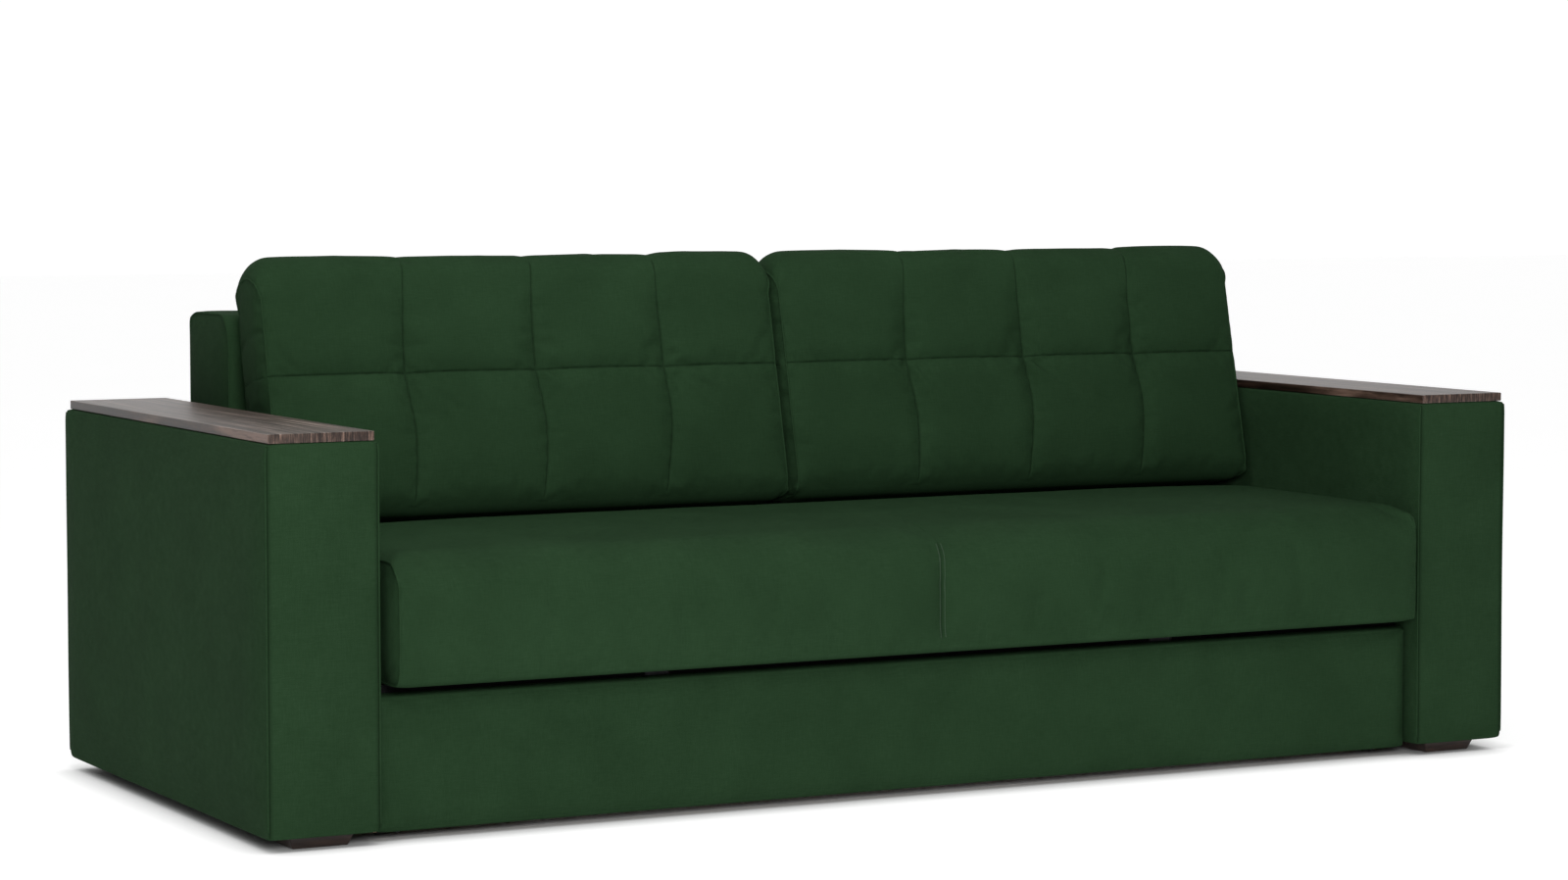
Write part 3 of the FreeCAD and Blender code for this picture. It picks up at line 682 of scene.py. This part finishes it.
def outline_ring(rest, points, axis, value, low, high):
    """Points of the closed seam round one end face of a block, in order."""
    one, two = (axis + 1) % 3, (axis + 2) % 3
    at_end = np.abs(rest[:, axis] - value) < 2e-5
    rim = np.zeros(len(rest), bool)
    for other in (one, two):
        for side in (low[other], high[other]):
            rim |= np.abs(rest[:, other] - side) < 2e-5
    hit = at_end & rim
    middle = (np.array(low) + np.array(high)) / 2
    spread = (np.array(high) - np.array(low)) / 2
    away = (rest[hit] - middle) / spread
    turn = np.arctan2(away[:, two], away[:, one])
    return points[hit][np.argsort(turn)]


def end_welts(label, rest, points, low, high, radius, body):
    """Welts round both end faces of a cover."""
    for word, value in (("left", low[0]), ("right", high[0])):
        ring = outline_ring(rest, points, 0, value, low, high)
        settle(tube(label + word, ring, radius, FABRIC, closed=True), body, "green_fabric")


CUSHION_SEAMS = (-0.235, 0.015, 0.265)   # shares of a cushion's width, from its middle
CROSS_SEAM = 0.528                       # share of a cushion's height
TUFT_DEPTH = 0.009
SEAM_DEPTH = 0.0028
GROOVE_DEPTH = 0.0020
FIELD_RISE = 0.012                       # how far the cushion's sewn front stands out at its middle
SEAT_CROWN = 0.009


def cushion_front(rest, points, low, high, seed):
    """Pull the sewn cross pattern into a cushion's front and let the fields between it stand proud."""
    width = high[0] - low[0]
    tall = high[2] - low[2]
    middle = low[2] + CROSS_SEAM * tall
    front = rest[:, 1] < low[1] + ON_FACE
    x, z = rest[front, 0], rest[front, 2]
    s = (x - (low[0] + high[0]) / 2) / width
    t = (z - low[2]) / tall
    rise = FIELD_RISE * (1 - np.abs(2 * s) ** 4) * (1 - np.abs(2 * t - 1) ** 4)
    ends = (1 - smooth(t, 0.80, 0.95)) * smooth(t, 0.0, 0.10)
    pull = near(z, middle, 0.016) * SEAM_DEPTH * (1 - 0.5 * smooth(np.abs(s), 0.36, 0.5))
    sway = np.zeros_like(x)
    for number, share in enumerate(CUSHION_SEAMS):
        seam = share * width
        deeper = SEAM_DEPTH + TUFT_DEPTH * near(t, CROSS_SEAM, 0.17)
        pull = np.maximum(pull, near(x, seam, 0.016) * deeper * ends)
        pull = pull + near(x, seam, 0.05) * near(z, middle, 0.06) * TUFT_DEPTH * 0.6
        bow = math.sin(1.9 * number + seed)
        drift = 0.006 * np.sin(math.pi * 2 * (t + 0.13 * bow)) * np.sign(0.6 + bow * 0.4)
        sway += near(x, seam, 0.07) * (drift - 0.004 * (0.5 - t) - 0.012 * (1 - smooth(t, 0, 0.40)))
    lifted = points[front]
    lifted[:, 1] += pull - rise
    lifted[:, 0] += sway
    points[front] = lifted
    return points


def cushion_folds(obj, rest, low, high, seed):
    """Small folds that run out from the tufts, longest toward the lower right, and the sewn grooves, with
    painted shade along their bottoms.
    """
    random = np.random.RandomState(seed)
    points = coordinates(obj.data)
    front = (rest[:, 1] < low[1] + ON_SURFACE)
    x, z = rest[front, 0], rest[front, 2]
    middle = low[2] + CROSS_SEAM * (high[2] - low[2])
    width = high[0] - low[0]
    total = np.zeros_like(x)
    for share in CUSHION_SEAMS:
        away = np.stack([x - share * width, z - middle], 1)
        reach = np.hypot(away[:, 0], away[:, 1])
        for _ in range(9):
            lower_right = random.rand() < 0.6
            angle = math.radians(random.uniform(-72, -18) if lower_right else random.uniform(20, 340))
            long = random.uniform(0.07, 0.15) if lower_right else random.uniform(0.03, 0.07)
            way = np.array([math.cos(angle), math.sin(angle)])
            ahead = away @ way
            aside = away @ np.array([-way[1], way[0]]) + 0.10 * ahead ** 2 * random.uniform(-2, 2)
            high_fold = random.uniform(0.0008, 0.0022)
            wide = 0.005 + 0.05 * np.clip(ahead, 0, 1)
            span = high_fold * smooth(ahead, 0.006, 0.02) * (1 - smooth(reach, long * 0.4, long))
            total += span * (near(aside, 0, wide) - 0.6 * near(aside, 2 * wide, wide))
    groove = near(z, middle, SEAM_WIDTH)
    for share in CUSHION_SEAMS:
        run = (1 - smooth(z, high[2] - 0.030, high[2] - 0.012)) * smooth(z, low[2] + 0.010, low[2] + 0.03)
        groove = np.maximum(groove, near(x, share * width, SEAM_WIDTH) * run)
    moved = points[front]
    moved[:, 1] += GROOVE_DEPTH * groove - total
    points[front] = moved
    # Painted shade along the bottoms of the sewn grooves, kept in the 'crease' attribute.
    crease = np.zeros(len(points))
    crease[front] = groove
    mark_painted_seam_shade(obj, crease)
    points += (0.0011 * ripples(points, 0.09, seed))[:, None] * np.array([0, -1, 0.3])
    put_coordinates(obj.data, points)


def cushion(word, side, seed):
    """A boxed back cushion: a quilted front that wraps over the top, gusseted ends, a zip behind."""
    tilt = JOINTS["cushion_tilt_" + word]
    pivot = Vector(tilt["pos_m"])
    lean = math.radians(tilt["range_deg"][1] - 90)
    stand = Matrix.Translation(pivot) @ Matrix.Rotation(-lean, 4, "X")
    flat = np.array([stand.inverted() @ v.co for v in NODES["cushion_" + word].data.vertices])
    low, high = flat.min(0), flat.max(0)
    width, tall = high[0] - low[0], high[2] - low[2]
    middle = low[2] + CROSS_SEAM * tall
    upright_seams = (low[0], *(share * width for share in CUSHION_SEAMS), high[0])
    rest, quads = block_grid(low, high, (0.0085,) * 3, (upright_seams, (low[1], high[1]), (middle,)))
    points = rest.copy()
    round_corners(points, low, high, 1, 2,
                  {(-1, 1): 0.056, (1, 1): 0.062, (-1, -1): 0.042, (1, -1): 0.038})
    slope_ends(points, low, high, 0.036)
    round_corners(points, low, high, 0, 2, {(1, -1): 0.022, (-1, -1): 0.022})
    round_corners(points, low, high, 0, 1, {(1, -1): 0.012, (-1, -1): 0.012, (1, 1): 0.020, (-1, 1): 0.020})
    points = cushion_front(rest, points, low, high, seed)

    t = (rest[:, 2] - low[2]) / tall
    front, rear, foot, top, end = block_faces(rest, low, high)
    held = np.zeros(len(rest))
    sewn = np.zeros(len(rest), bool)
    for share in CUSHION_SEAMS:
        sewn |= front & (np.abs(rest[:, 0] - share * width) < 1e-5) & (t > 0.05) & (t < 0.76)
    sewn |= front & (np.abs(rest[:, 2] - middle) < 1e-5)
    sewn |= end & front & (t > 0.06) & (t < 0.9)
    held[sewn | foot] = 1.0
    held[rear & (t < 0.8)] = 1.0
    inward = smooth(width / 2 - np.abs(rest[:, 0]), 0.0, 0.13)
    cap = 0.005 + 0.005 * inward
    cap[front] = 0.0015 + 0.0050 * smooth(t[front], 0.03, 0.22)
    cap[top] += 0.004 * inward[top]
    cap[end] = 0.007
    cap[rear] = 0.006
    piece, rest, _ = swollen("cushion_cover_" + word, rest, points, quads, held, 5.0, cap, slack=0.03)
    cushion_folds(piece, rest, low, high, seed)
    body = "cushion_body_" + word
    pieces = [piece]
    points = coordinates(piece.data)
    for name, value in (("in", low[0]), ("out", high[0])):
        ring = outline_ring(rest, points, 0, value, low, high)
        pieces.append(tube("cushion_welt_%s_%s" % (word, name), ring, 0.0021, FABRIC, closed=True))
    pieces += zip_parts(word)
    for part in pieces:
        if part.name.startswith("cushion_zip"):
            continue
        part.data.transform(stand)
    settle(piece, body, "green_fabric", "cushion_" + word)
    for part in pieces[1:]:
        settle(part, body, "zip_tape" if "zip" in part.name else "green_fabric")
    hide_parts("cushion_zip_" + word)


def zip_parts(word):
    """Zip on the rear of a cushion: woven tape, two rows of teeth, a slider with its pull."""
    tape = eased("cushion_zip_" + word, MOULDED, 0.0004)
    tape.name = "cushion_zip_tape_" + word
    verts = np.array([v.co for v in tape.data.vertices])
    centre = (verts.min(0) + verts.max(0)) / 2
    lean = math.radians(JOINTS["cushion_tilt_" + word]["range_deg"][1] - 90)
    turn = Matrix.Translation(Vector(centre)) @ Matrix.Rotation(-lean, 4, "X")
    length = verts[:, 0].max() - verts[:, 0].min()
    form = bmesh.new()
    count = int(length / 0.0024)
    for number in range(count):
        x = -length / 2 + 0.004 + number * (length - 0.008) / (count - 1)
        shift = 0.0009 if number % 2 else -0.0009
        bmesh.ops.create_cube(form, size=1, matrix=Matrix.Translation((x, 0.0016, shift))
                              @ Matrix.Diagonal((0.0013, 0.0012, 0.0034, 1)))
    bmesh.ops.transform(form, matrix=turn, verts=form.verts)
    teeth = form_object("cushion_zip_teeth_" + word, form, BRIGHT_STEEL)
    form = bmesh.new()
    slide = length / 2 - 0.016
    bmesh.ops.create_cube(form, size=1, matrix=Matrix.Translation((slide, 0.0026, 0))
                          @ Matrix.Diagonal((0.012, 0.0036, 0.009, 1)))
    bmesh.ops.create_cube(form, size=1, matrix=Matrix.Translation((slide - 0.015, 0.0040, 0))
                          @ Matrix.Diagonal((0.024, 0.0013, 0.0055, 1)))
    bmesh.ops.bevel(form, geom=form.edges[:], offset=0.0006, segments=2, affect="EDGES", clamp_overlap=True)
    bmesh.ops.transform(form, matrix=turn, verts=form.verts)
    slider = form_object("cushion_zip_slider_" + word, form, BRIGHT_STEEL)
    return [tape, teeth, slider]


def seat():
    """The seat block: a crowned top pressed flat under the cushions, gusseted ends, one centre seam."""
    low, high = block_of("seat_pad")
    cushion_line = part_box("cushion_left")[0][1]
    rest, quads = block_grid(low, high, (0.013, 0.013, 0.012), ((low[0], 0.0, high[0]), (), ()))
    points = rest.copy()
    round_corners(points, low, high, 1, 2, {(-1, 1): 0.055, (1, 1): 0.050, (-1, -1): 0.030, (1, -1): 0.012})
    round_corners(points, low, high, 0, 1, {(1, -1): 0.016, (-1, -1): 0.016, (1, 1): 0.014, (-1, 1): 0.014})
    round_corners(points, low, high, 0, 2, {(1, 1): 0.014, (-1, 1): 0.014, (1, -1): 0.012, (-1, -1): 0.012})
    front, rear, foot, top, end = block_faces(rest, low, high)
    s = np.abs(rest[:, 0]) / high[0]
    free = 1 - smooth(rest[:, 1], cushion_line - 0.075, cushion_line + 0.02)
    crown = (1 - s ** 8) * smooth(rest[:, 1], low[1], low[1] + 0.30) * free
    points[top, 2] += SEAT_CROWN * crown[top]
    up = (rest[:, 2] - low[2]) / (high[2] - low[2])
    centre = near(rest[:, 0], 0, 0.0034) * 0.0040 + near(rest[:, 0], 0, 0.016) * 0.0035
    points[front, 1] += (centre * smooth(up, 0.10, 0.22))[front]
    held = np.zeros(len(rest))
    held[foot | rear] = 1.0
    held[front & (np.abs(rest[:, 0]) < 1e-5) & (up > 0.12)] = 1.0
    held[end & (front | top)] = 1.0
    cap = np.full(len(rest), 0.005)
    cap[top] = 0.002 + 0.008 * free[top]
    cap[front] = 0.010
    cap[end] = 0.007
    piece, rest, points = swollen("seat_cover", rest, points, quads, held, 4.5, cap, slack=0.01, stiff=18)
    edge = near(np.abs(rest[:, 0]), high[0], 0.05) * (rest[:, 1] < low[1] + 0.02)
    points[:, 1] -= edge * 0.0016 * ripples(points, 0.022, 3)
    beside = near(rest[:, 0], 0, 0.03) * (rest[:, 1] < low[1] + ON_SURFACE)
    points[:, 1] -= beside * 0.0012 * ripples(points, 0.018, 5)
    points[:, 2] += (rest[:, 2] > high[2] - ON_SURFACE) * 0.0009 * ripples(points, 0.16, 8)
    put_coordinates(piece.data, points)
    # Painted shade at the bottom of the centre seam on the front.
    mark_painted_seam_shade(piece, near(rest[:, 0], 0, SEAM_WIDTH) * (rest[:, 1] < low[1] + ON_SURFACE)
                 * smooth(rest[:, 2], low[2] + 0.02, low[2] + 0.04))
    settle(piece, "seat", "green_fabric", "seat_pad")
    end_welts("seat_welt_", rest, points, low, high, 0.0022, "seat")
    line = seam_points(piece, rest, {0: 0.0, 1: low[1]}, 2)
    line = line[line[:, 2] > low[2] + 0.03]
    both = [line + (side * 0.0045, 0, 0) for side in (-1, 1)]
    settle(stitches("seat_centre_stitches", both, np.array((0, -0.0032, 0))), "seat", "green_fabric")


def apron():
    """The padded apron: cloth over thin wadding, pulled round the edges of its board."""
    low, high = block_of("apron_pad")
    wrap = 0.0007
    low = low - (wrap, 0, wrap)
    high = high + (wrap, 0, wrap)
    high[1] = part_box("apron_board")[1][1] + 0.0004
    rest, quads = block_grid(low, high, (0.014, 0.0072, 0.011),
                             ((low[0], high[0]), (high[1],), (low[2], high[2])))
    points = rest.copy()
    round_corners(points, low, high, 1, 2, {(-1, 1): 0.013, (-1, -1): 0.013})
    round_corners(points, low, high, 0, 1, {(1, -1): 0.010, (-1, -1): 0.010})
    round_corners(points, low, high, 0, 2, {(1, 1): 0.010, (-1, 1): 0.010, (1, -1): 0.010, (-1, -1): 0.010})
    front, rear, _, _, _ = block_faces(rest, low, high)
    held = np.zeros(len(rest))
    held[rear] = 1.0
    cap = np.full(len(rest), 0.0008)
    cap[front] = 0.004
    piece, rest, points = swollen("apron_cover", rest, points, quads, held, 3.0, cap, slack=0.0, stiff=22)
    face = rest[:, 1] < low[1] + ON_SURFACE
    pucker = near(rest[:, 2], low[2], 0.03) + near(rest[:, 2], high[2], 0.02)
    points[:, 1] -= face * (0.0009 * ripples(points * (1, 1, 0.4), 0.05, 11) * (0.5 + pucker))
    over_board = (rest[:, 2] > high[2] - ON_SURFACE) & (rest[:, 1] > low[1] + 0.015)
    points[over_board, 2] = np.maximum(points[over_board, 2], high[2])
    put_coordinates(piece.data, points)
    settle(piece, "seat", "green_fabric", "apron_pad")


def arm(word, side):
    """An arm's cover: cloth over thin wadding on boards, a welt down both front edges."""
    low, high = block_of("arm_cover_" + word)
    outer = high if side > 0 else low
    outer[0] += side * 0.007
    low[1] -= 0.002
    high[1] += 0.010
    rest, quads = block_grid(low, high, (0.012, 0.014, 0.014), ((low[0], high[0]), (low[1], high[1]), ()))
    points = rest.copy()
    round_corners(points, low, high, 0, 2, {(1, 1): 0.010, (-1, 1): 0.010, (1, -1): 0.009, (-1, -1): 0.009})
    round_corners(points, low, high, 1, 2, {(-1, -1): 0.009, (1, -1): 0.009, (-1, 1): 0.006, (1, 1): 0.006})
    round_corners(points, low, high, 0, 1, {(i, j): 0.006 for i in (-1, 1) for j in (-1, 1)})
    front, rear, foot, top, edge = block_faces(rest, low, high)
    outside = edge & ((rest[:, 0] - (low[0] + high[0]) / 2) * side > 0)
    ends = front | rear
    held = np.zeros(len(rest))
    held[top | foot] = 1.0
    held[ends & edge & (rest[:, 2] > low[2] + 0.03)] = 1.0
    cap = np.full(len(rest), 0.0012)
    cap[outside] = 0.008
    cap[ends] = 0.006
    piece, rest, points = swollen("arm_fabric_" + word, rest, points, quads, held, 4.0, cap,
                                  slack=0.0, stiff=20)
    loose = (rest[:, 0] * side > (low[0] + high[0]) / 2 * side + 0.08) | (rest[:, 1] < low[1] + ON_SURFACE)
    sway = ripples(points * (1, 1, 0.35), 0.10, 17 + side)
    points[:, 0] += side * loose * 0.0011 * sway
    points[:, 1] -= (rest[:, 1] < low[1] + ON_SURFACE) * 0.0009 * sway
    tuck = near(rest[:, 2], high[2], 0.02) * (rest[:, 1] < low[1] + ON_SURFACE)
    points[:, 1] += tuck * 0.0010 * ripples(points, 0.012, 23)
    put_coordinates(piece.data, points)
    # Painted shade along the seams beside the welts at the edges of the front.
    from_edge = (high[0] - low[0]) / 2 - np.abs(rest[:, 0] - (low[0] + high[0]) / 2)
    mark_painted_seam_shade(piece, 2.0 * near(from_edge, 0.0026, 0.0022) * (rest[:, 1] < low[1] + ON_SURFACE))
    settle(piece, "sofa_base", "green_fabric", "arm_cover_" + word)
    for name, x in (("inner", low[0] if side > 0 else high[0]), ("outer", high[0] if side > 0 else low[0])):
        for end, y in (("front", low[1]), ("rear", high[1])):
            line = seam_points(piece, rest, {0: x, 1: y}, 2)[2:]
            label = "arm_welt_%s_%s_%s" % (name, end, word)
            settle(tube(label, line, 0.0016, FABRIC), "sofa_base", "green_fabric")


def back():
    """The folding back: a boxed pad, rounded along its top, with gusseted ends and a centre seam."""
    low, high = block_of("back_cover")
    rest, quads = block_grid(low, high, (0.014, 0.013, 0.014), ((low[0], 0.0, high[0]), (), ()))
    points = rest.copy()
    round_corners(points, low, high, 1, 2, {(-1, 1): 0.050, (1, 1): 0.050, (1, -1): 0.030, (-1, -1): 0.010})
    round_corners(points, low, high, 0, 1, {(i, j): 0.012 for i in (-1, 1) for j in (-1, 1)})
    round_corners(points, low, high, 0, 2, {(1, 1): 0.012, (-1, 1): 0.012})
    front, rear, foot, top, end = block_faces(rest, low, high)
    middle = np.abs(rest[:, 0]) < 1e-5
    crease = near(rest[:, 0], 0, 0.0034) * 0.0035 + near(rest[:, 0], 0, 0.016) * 0.003
    points[rear, 1] -= crease[rear]
    points[foot, 2] += 0.002
    held = np.zeros(len(rest))
    held[foot] = 1.0
    held[end & (rear | top | front)] = 1.0
    held[rear & middle] = 1.0
    cap = np.full(len(rest), 0.003)
    cap[front] = 0.0006
    cap[top] = 0.006
    cap[rear] = 0.011
    cap[end] = 0.004
    piece, rest, points = swollen("back_fabric", rest, points, quads, held, 4.0, cap, slack=0.0, stiff=18)
    points[:, 1] += (rest[:, 1] > high[1] - ON_SURFACE) * 0.0016 * ripples(points * (1, 1, 0.5), 0.12, 31)
    put_coordinates(piece.data, points)
    settle(piece, "back", "green_fabric", "back_cover")
    end_welts("back_welt_", rest, points, low, high, 0.0021, "back")


# ---- Hard pieces

EDGE_WIDTHS = {"steel": 0.0006, "dark_foot": 0.0022, "dark_laminate": 0.0006, "wheel_rubber": 0.0015}


def hard_pieces():
    """Every hard CAD node again with its edges eased, in its own material."""
    slots = {part["node"]: part["material_slot"] for part in frame["record"]["subparts"]}
    soft = {"seat_pad", "apron_pad", "back_cover"}
    for name in sorted(NODES):
        slot = slots[name]
        if name in soft or name.startswith(("arm_cover", "cushion_")):
            continue
        piece = eased(name, BY_SLOT[slot], EDGE_WIDTHS.get(slot, 0.0014))
        settle(piece, NODES[name]["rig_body"], slot, name)


def screw(name, place, normal, body, radius=0.0042):
    """A countersunk screw head with a cross recess, on a face at place."""
    form = bmesh.new()
    profile = [(0.0, 0.0009), (0.55, 0.0009), (0.86, 0.0006), (1.0, 0.0)]
    rings = []
    for part, lift in profile[1:]:
        ring = [form.verts.new((radius * part * math.cos(a), radius * part * math.sin(a), lift))
                for a in (2 * math.pi * k / 24 for k in range(24))]
        rings.append(ring)
    for first, second in zip(rings, rings[1:]):
        for k in range(24):
            form.faces.new((first[k], second[k], second[(k + 1) % 24], first[(k + 1) % 24]))
    inner = []
    for k, v in enumerate(rings[0]):
        arm_length = 0.9 if k % 6 < 3 else 0.35
        inner.append(form.verts.new((v.co.x * arm_length, v.co.y * arm_length, 0.0009)))
    sunk = [form.verts.new((v.co.x * 0.8, v.co.y * 0.8, -0.0008)) for v in inner]
    for k in range(24):
        form.faces.new((rings[0][k], rings[0][(k + 1) % 24], inner[(k + 1) % 24], inner[k]))
        form.faces.new((inner[k], inner[(k + 1) % 24], sunk[(k + 1) % 24], sunk[k]))
    form.faces.new(sunk)
    turn = Vector(normal).to_track_quat("Z", "Y").to_matrix().to_4x4()
    bmesh.ops.recalc_face_normals(form, faces=form.faces)
    bmesh.ops.transform(form, matrix=Matrix.Translation(place) @ turn, verts=form.verts)
    return settle(form_object(name, form, BRIGHT_STEEL), body, "steel")


def screws():
    """Heads on the hinge plates and the side rails."""
    for word, side in SIDES:
        low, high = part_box("hinge_plate_" + word)
        arm_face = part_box("arm_cover_" + word)[1 if side < 0 else 0][0]
        plate_face = arm_face - side * 0.004
        number = 0
        for y in (low[1] + 0.012, high[1] - 0.012):
            for z in (low[2] + 0.012, high[2] - 0.012):
                screw("plate_screw_%s_%d" % (word, number), (plate_face, y, z), (-side, 0, 0), "sofa_base")
                number += 1
        low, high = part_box("roller_rail_" + word)
        face = low[0] if side > 0 else high[0]
        for number in range(4):
            y = low[1] + (number + 0.5) * (high[1] - low[1]) / 4
            place = (face, y, (low[2] + high[2]) / 2)
            screw("rail_screw_%s_%d" % (word, number), place, (-side, 0, 0), "sofa_base")


def black_cloth(label, low, high, bulge, body):
    """A stapled sheet of black cloth filling a flat box, bulging a little one way between its edges."""
    low, high = Vector(low), Vector(high)
    span = high - low
    flat = min(range(3), key=lambda axis: span[axis])
    one, two = [axis for axis in range(3) if axis != flat]
    steps = [max(4, round(span[axis] / 0.05)) for axis in (one, two)]
    points = []
    for j in range(steps[1] + 1):
        for i in range(steps[0] + 1):
            u, v = i / steps[0], j / steps[1]
            place = low.copy()
            place[one] += u * span[one]
            place[two] += v * span[two]
            wave = 1 + 0.3 * math.sin(v * 9 + u * 23)
            place[flat] += bulge * math.sin(math.pi * u) * math.sin(math.pi * v) * wave
            points.append(place)
    wide = steps[0] + 1
    faces = [(j * wide + i, j * wide + i + 1, (j + 1) * wide + i + 1, (j + 1) * wide + i)
             for j in range(steps[1]) for i in range(steps[0])]
    piece = mesh_object(label, points, faces, DUST_CLOTH_AND_SHADE_SHEET)
    settle(piece, body, "green_fabric")


def under_cloths():
    """Black cloth under each arm and under the seat, and black strips over the apron that close the gap and
    stand in for the shade in it.
    """
    for word, _ in SIDES:
        low, high = block_of("arm_cover_" + word)
        inset = np.array((0.018, 0.018, 0))
        low, high = low + inset, high - inset
        high[2] = low[2] = low[2] - 0.0006
        black_cloth("arm_under_cloth_" + word, low, high, -0.0008, "sofa_base")
    low, high = block_of("seat_frame")
    high[2] = low[2] = low[2] - 0.0002
    black_cloth("seat_under_cloth", low, high, -0.0002, "seat")
    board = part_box("apron_board")
    rear = board[1][1] + 0.0010
    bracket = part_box("apron_bracket_right")
    edges = (board[0][0], -bracket[1][0], -bracket[0][0], bracket[0][0], bracket[1][0], board[1][0])
    # Painted shade: black sheets behind the gap over the apron, split at the brackets, stand in for the
    # shade in that gap.
    for number, (start, end) in enumerate(zip(edges[::2], edges[1::2])):
        black_cloth("apron_gap_shade_sheet_%d" % number, (start + 0.002, rear, board[1][2] - 0.03),
                    (end - 0.002, rear, low[2] - 0.0012), 0.0010, "seat")


# ---- Stage

def area_light(name, place, aim, size, power, colour=(1, 1, 1)):
    data = bpy.data.lights.new(name, "AREA")
    data.shape = "RECTANGLE"
    data.size, data.size_y = size
    data.energy = power
    data.color = colour
    lamp = bpy.data.objects.new(name, data)
    lamp.location = place
    lamp.rotation_euler = (Vector(aim) - Vector(place)).to_track_quat("-Z", "Y").to_euler()
    bpy.context.scene.collection.objects.link(lamp)


def pale_room():
    """White beyond the sofa, dimmer on the left and in front, so that the sofa's left side is in shade."""
    world = bpy.data.worlds.new("pale_room")
    world.use_nodes = True
    tree = world.node_tree
    sky = tree.nodes["Background"]
    way = tree.nodes.new("ShaderNodeTexCoord")
    toward = tree.nodes.new("ShaderNodeVectorMath")
    toward.operation = "DOT_PRODUCT"
    toward.inputs[1].default_value = (math.sin(CAMERA_HEADING), math.cos(CAMERA_HEADING), 0)
    level = tree.nodes.new("ShaderNodeMapRange")
    for key, value in (("From Min", -0.3), ("From Max", 0.6), ("To Min", 0.07), ("To Max", 1.05)):
        level.inputs[key].default_value = value
    tree.links.new(way.outputs["Generated"], toward.inputs[0])
    tree.links.new(toward.outputs["Value"], level.inputs["Value"])
    tree.links.new(level.outputs[0], sky.inputs["Strength"])
    sky.inputs["Color"].default_value = (1, 1, 1, 1)
    return world


def studio():
    floor = mesh_object("floor", [(-30, -30, 0), (30, -30, 0), (30, 30, 0), (-30, 30, 0)], [(0, 1, 2, 3)],
                        glowing_floor())
    bpy.context.scene.world = pale_room()
    area_light("key", (-2.3, -5.6, 2.0), (-0.2, 0, 0.45), (2.2, 1.6), 238)
    area_light("overhead", (-1.3, -1.2, 3.9), (0.3, 0, 0.4), (1.7, 1.7), 66)
    bpy.context.scene.view_settings.view_transform = "Standard"
    bpy.context.scene.view_settings.look = "None"


def camera():
    data = bpy.data.cameras.new("camera")
    data.lens = CAMERA_LENS
    data.sensor_width = 36
    data.clip_end = 100
    made = bpy.data.objects.new("camera", data)
    made.location = CAMERA_PLACE
    made.rotation_euler = (math.pi / 2 - CAMERA_DIP, 0, -CAMERA_HEADING)
    bpy.context.scene.collection.objects.link(made)
    bpy.context.scene.camera = made


camera()
hard_pieces()
for word, side in SIDES:
    arm(word, side)
seat()
apron()
back()
for number, (word, side) in enumerate(SIDES):
    cushion(word, side, number + 1)
screws()
under_cloths()
studio()
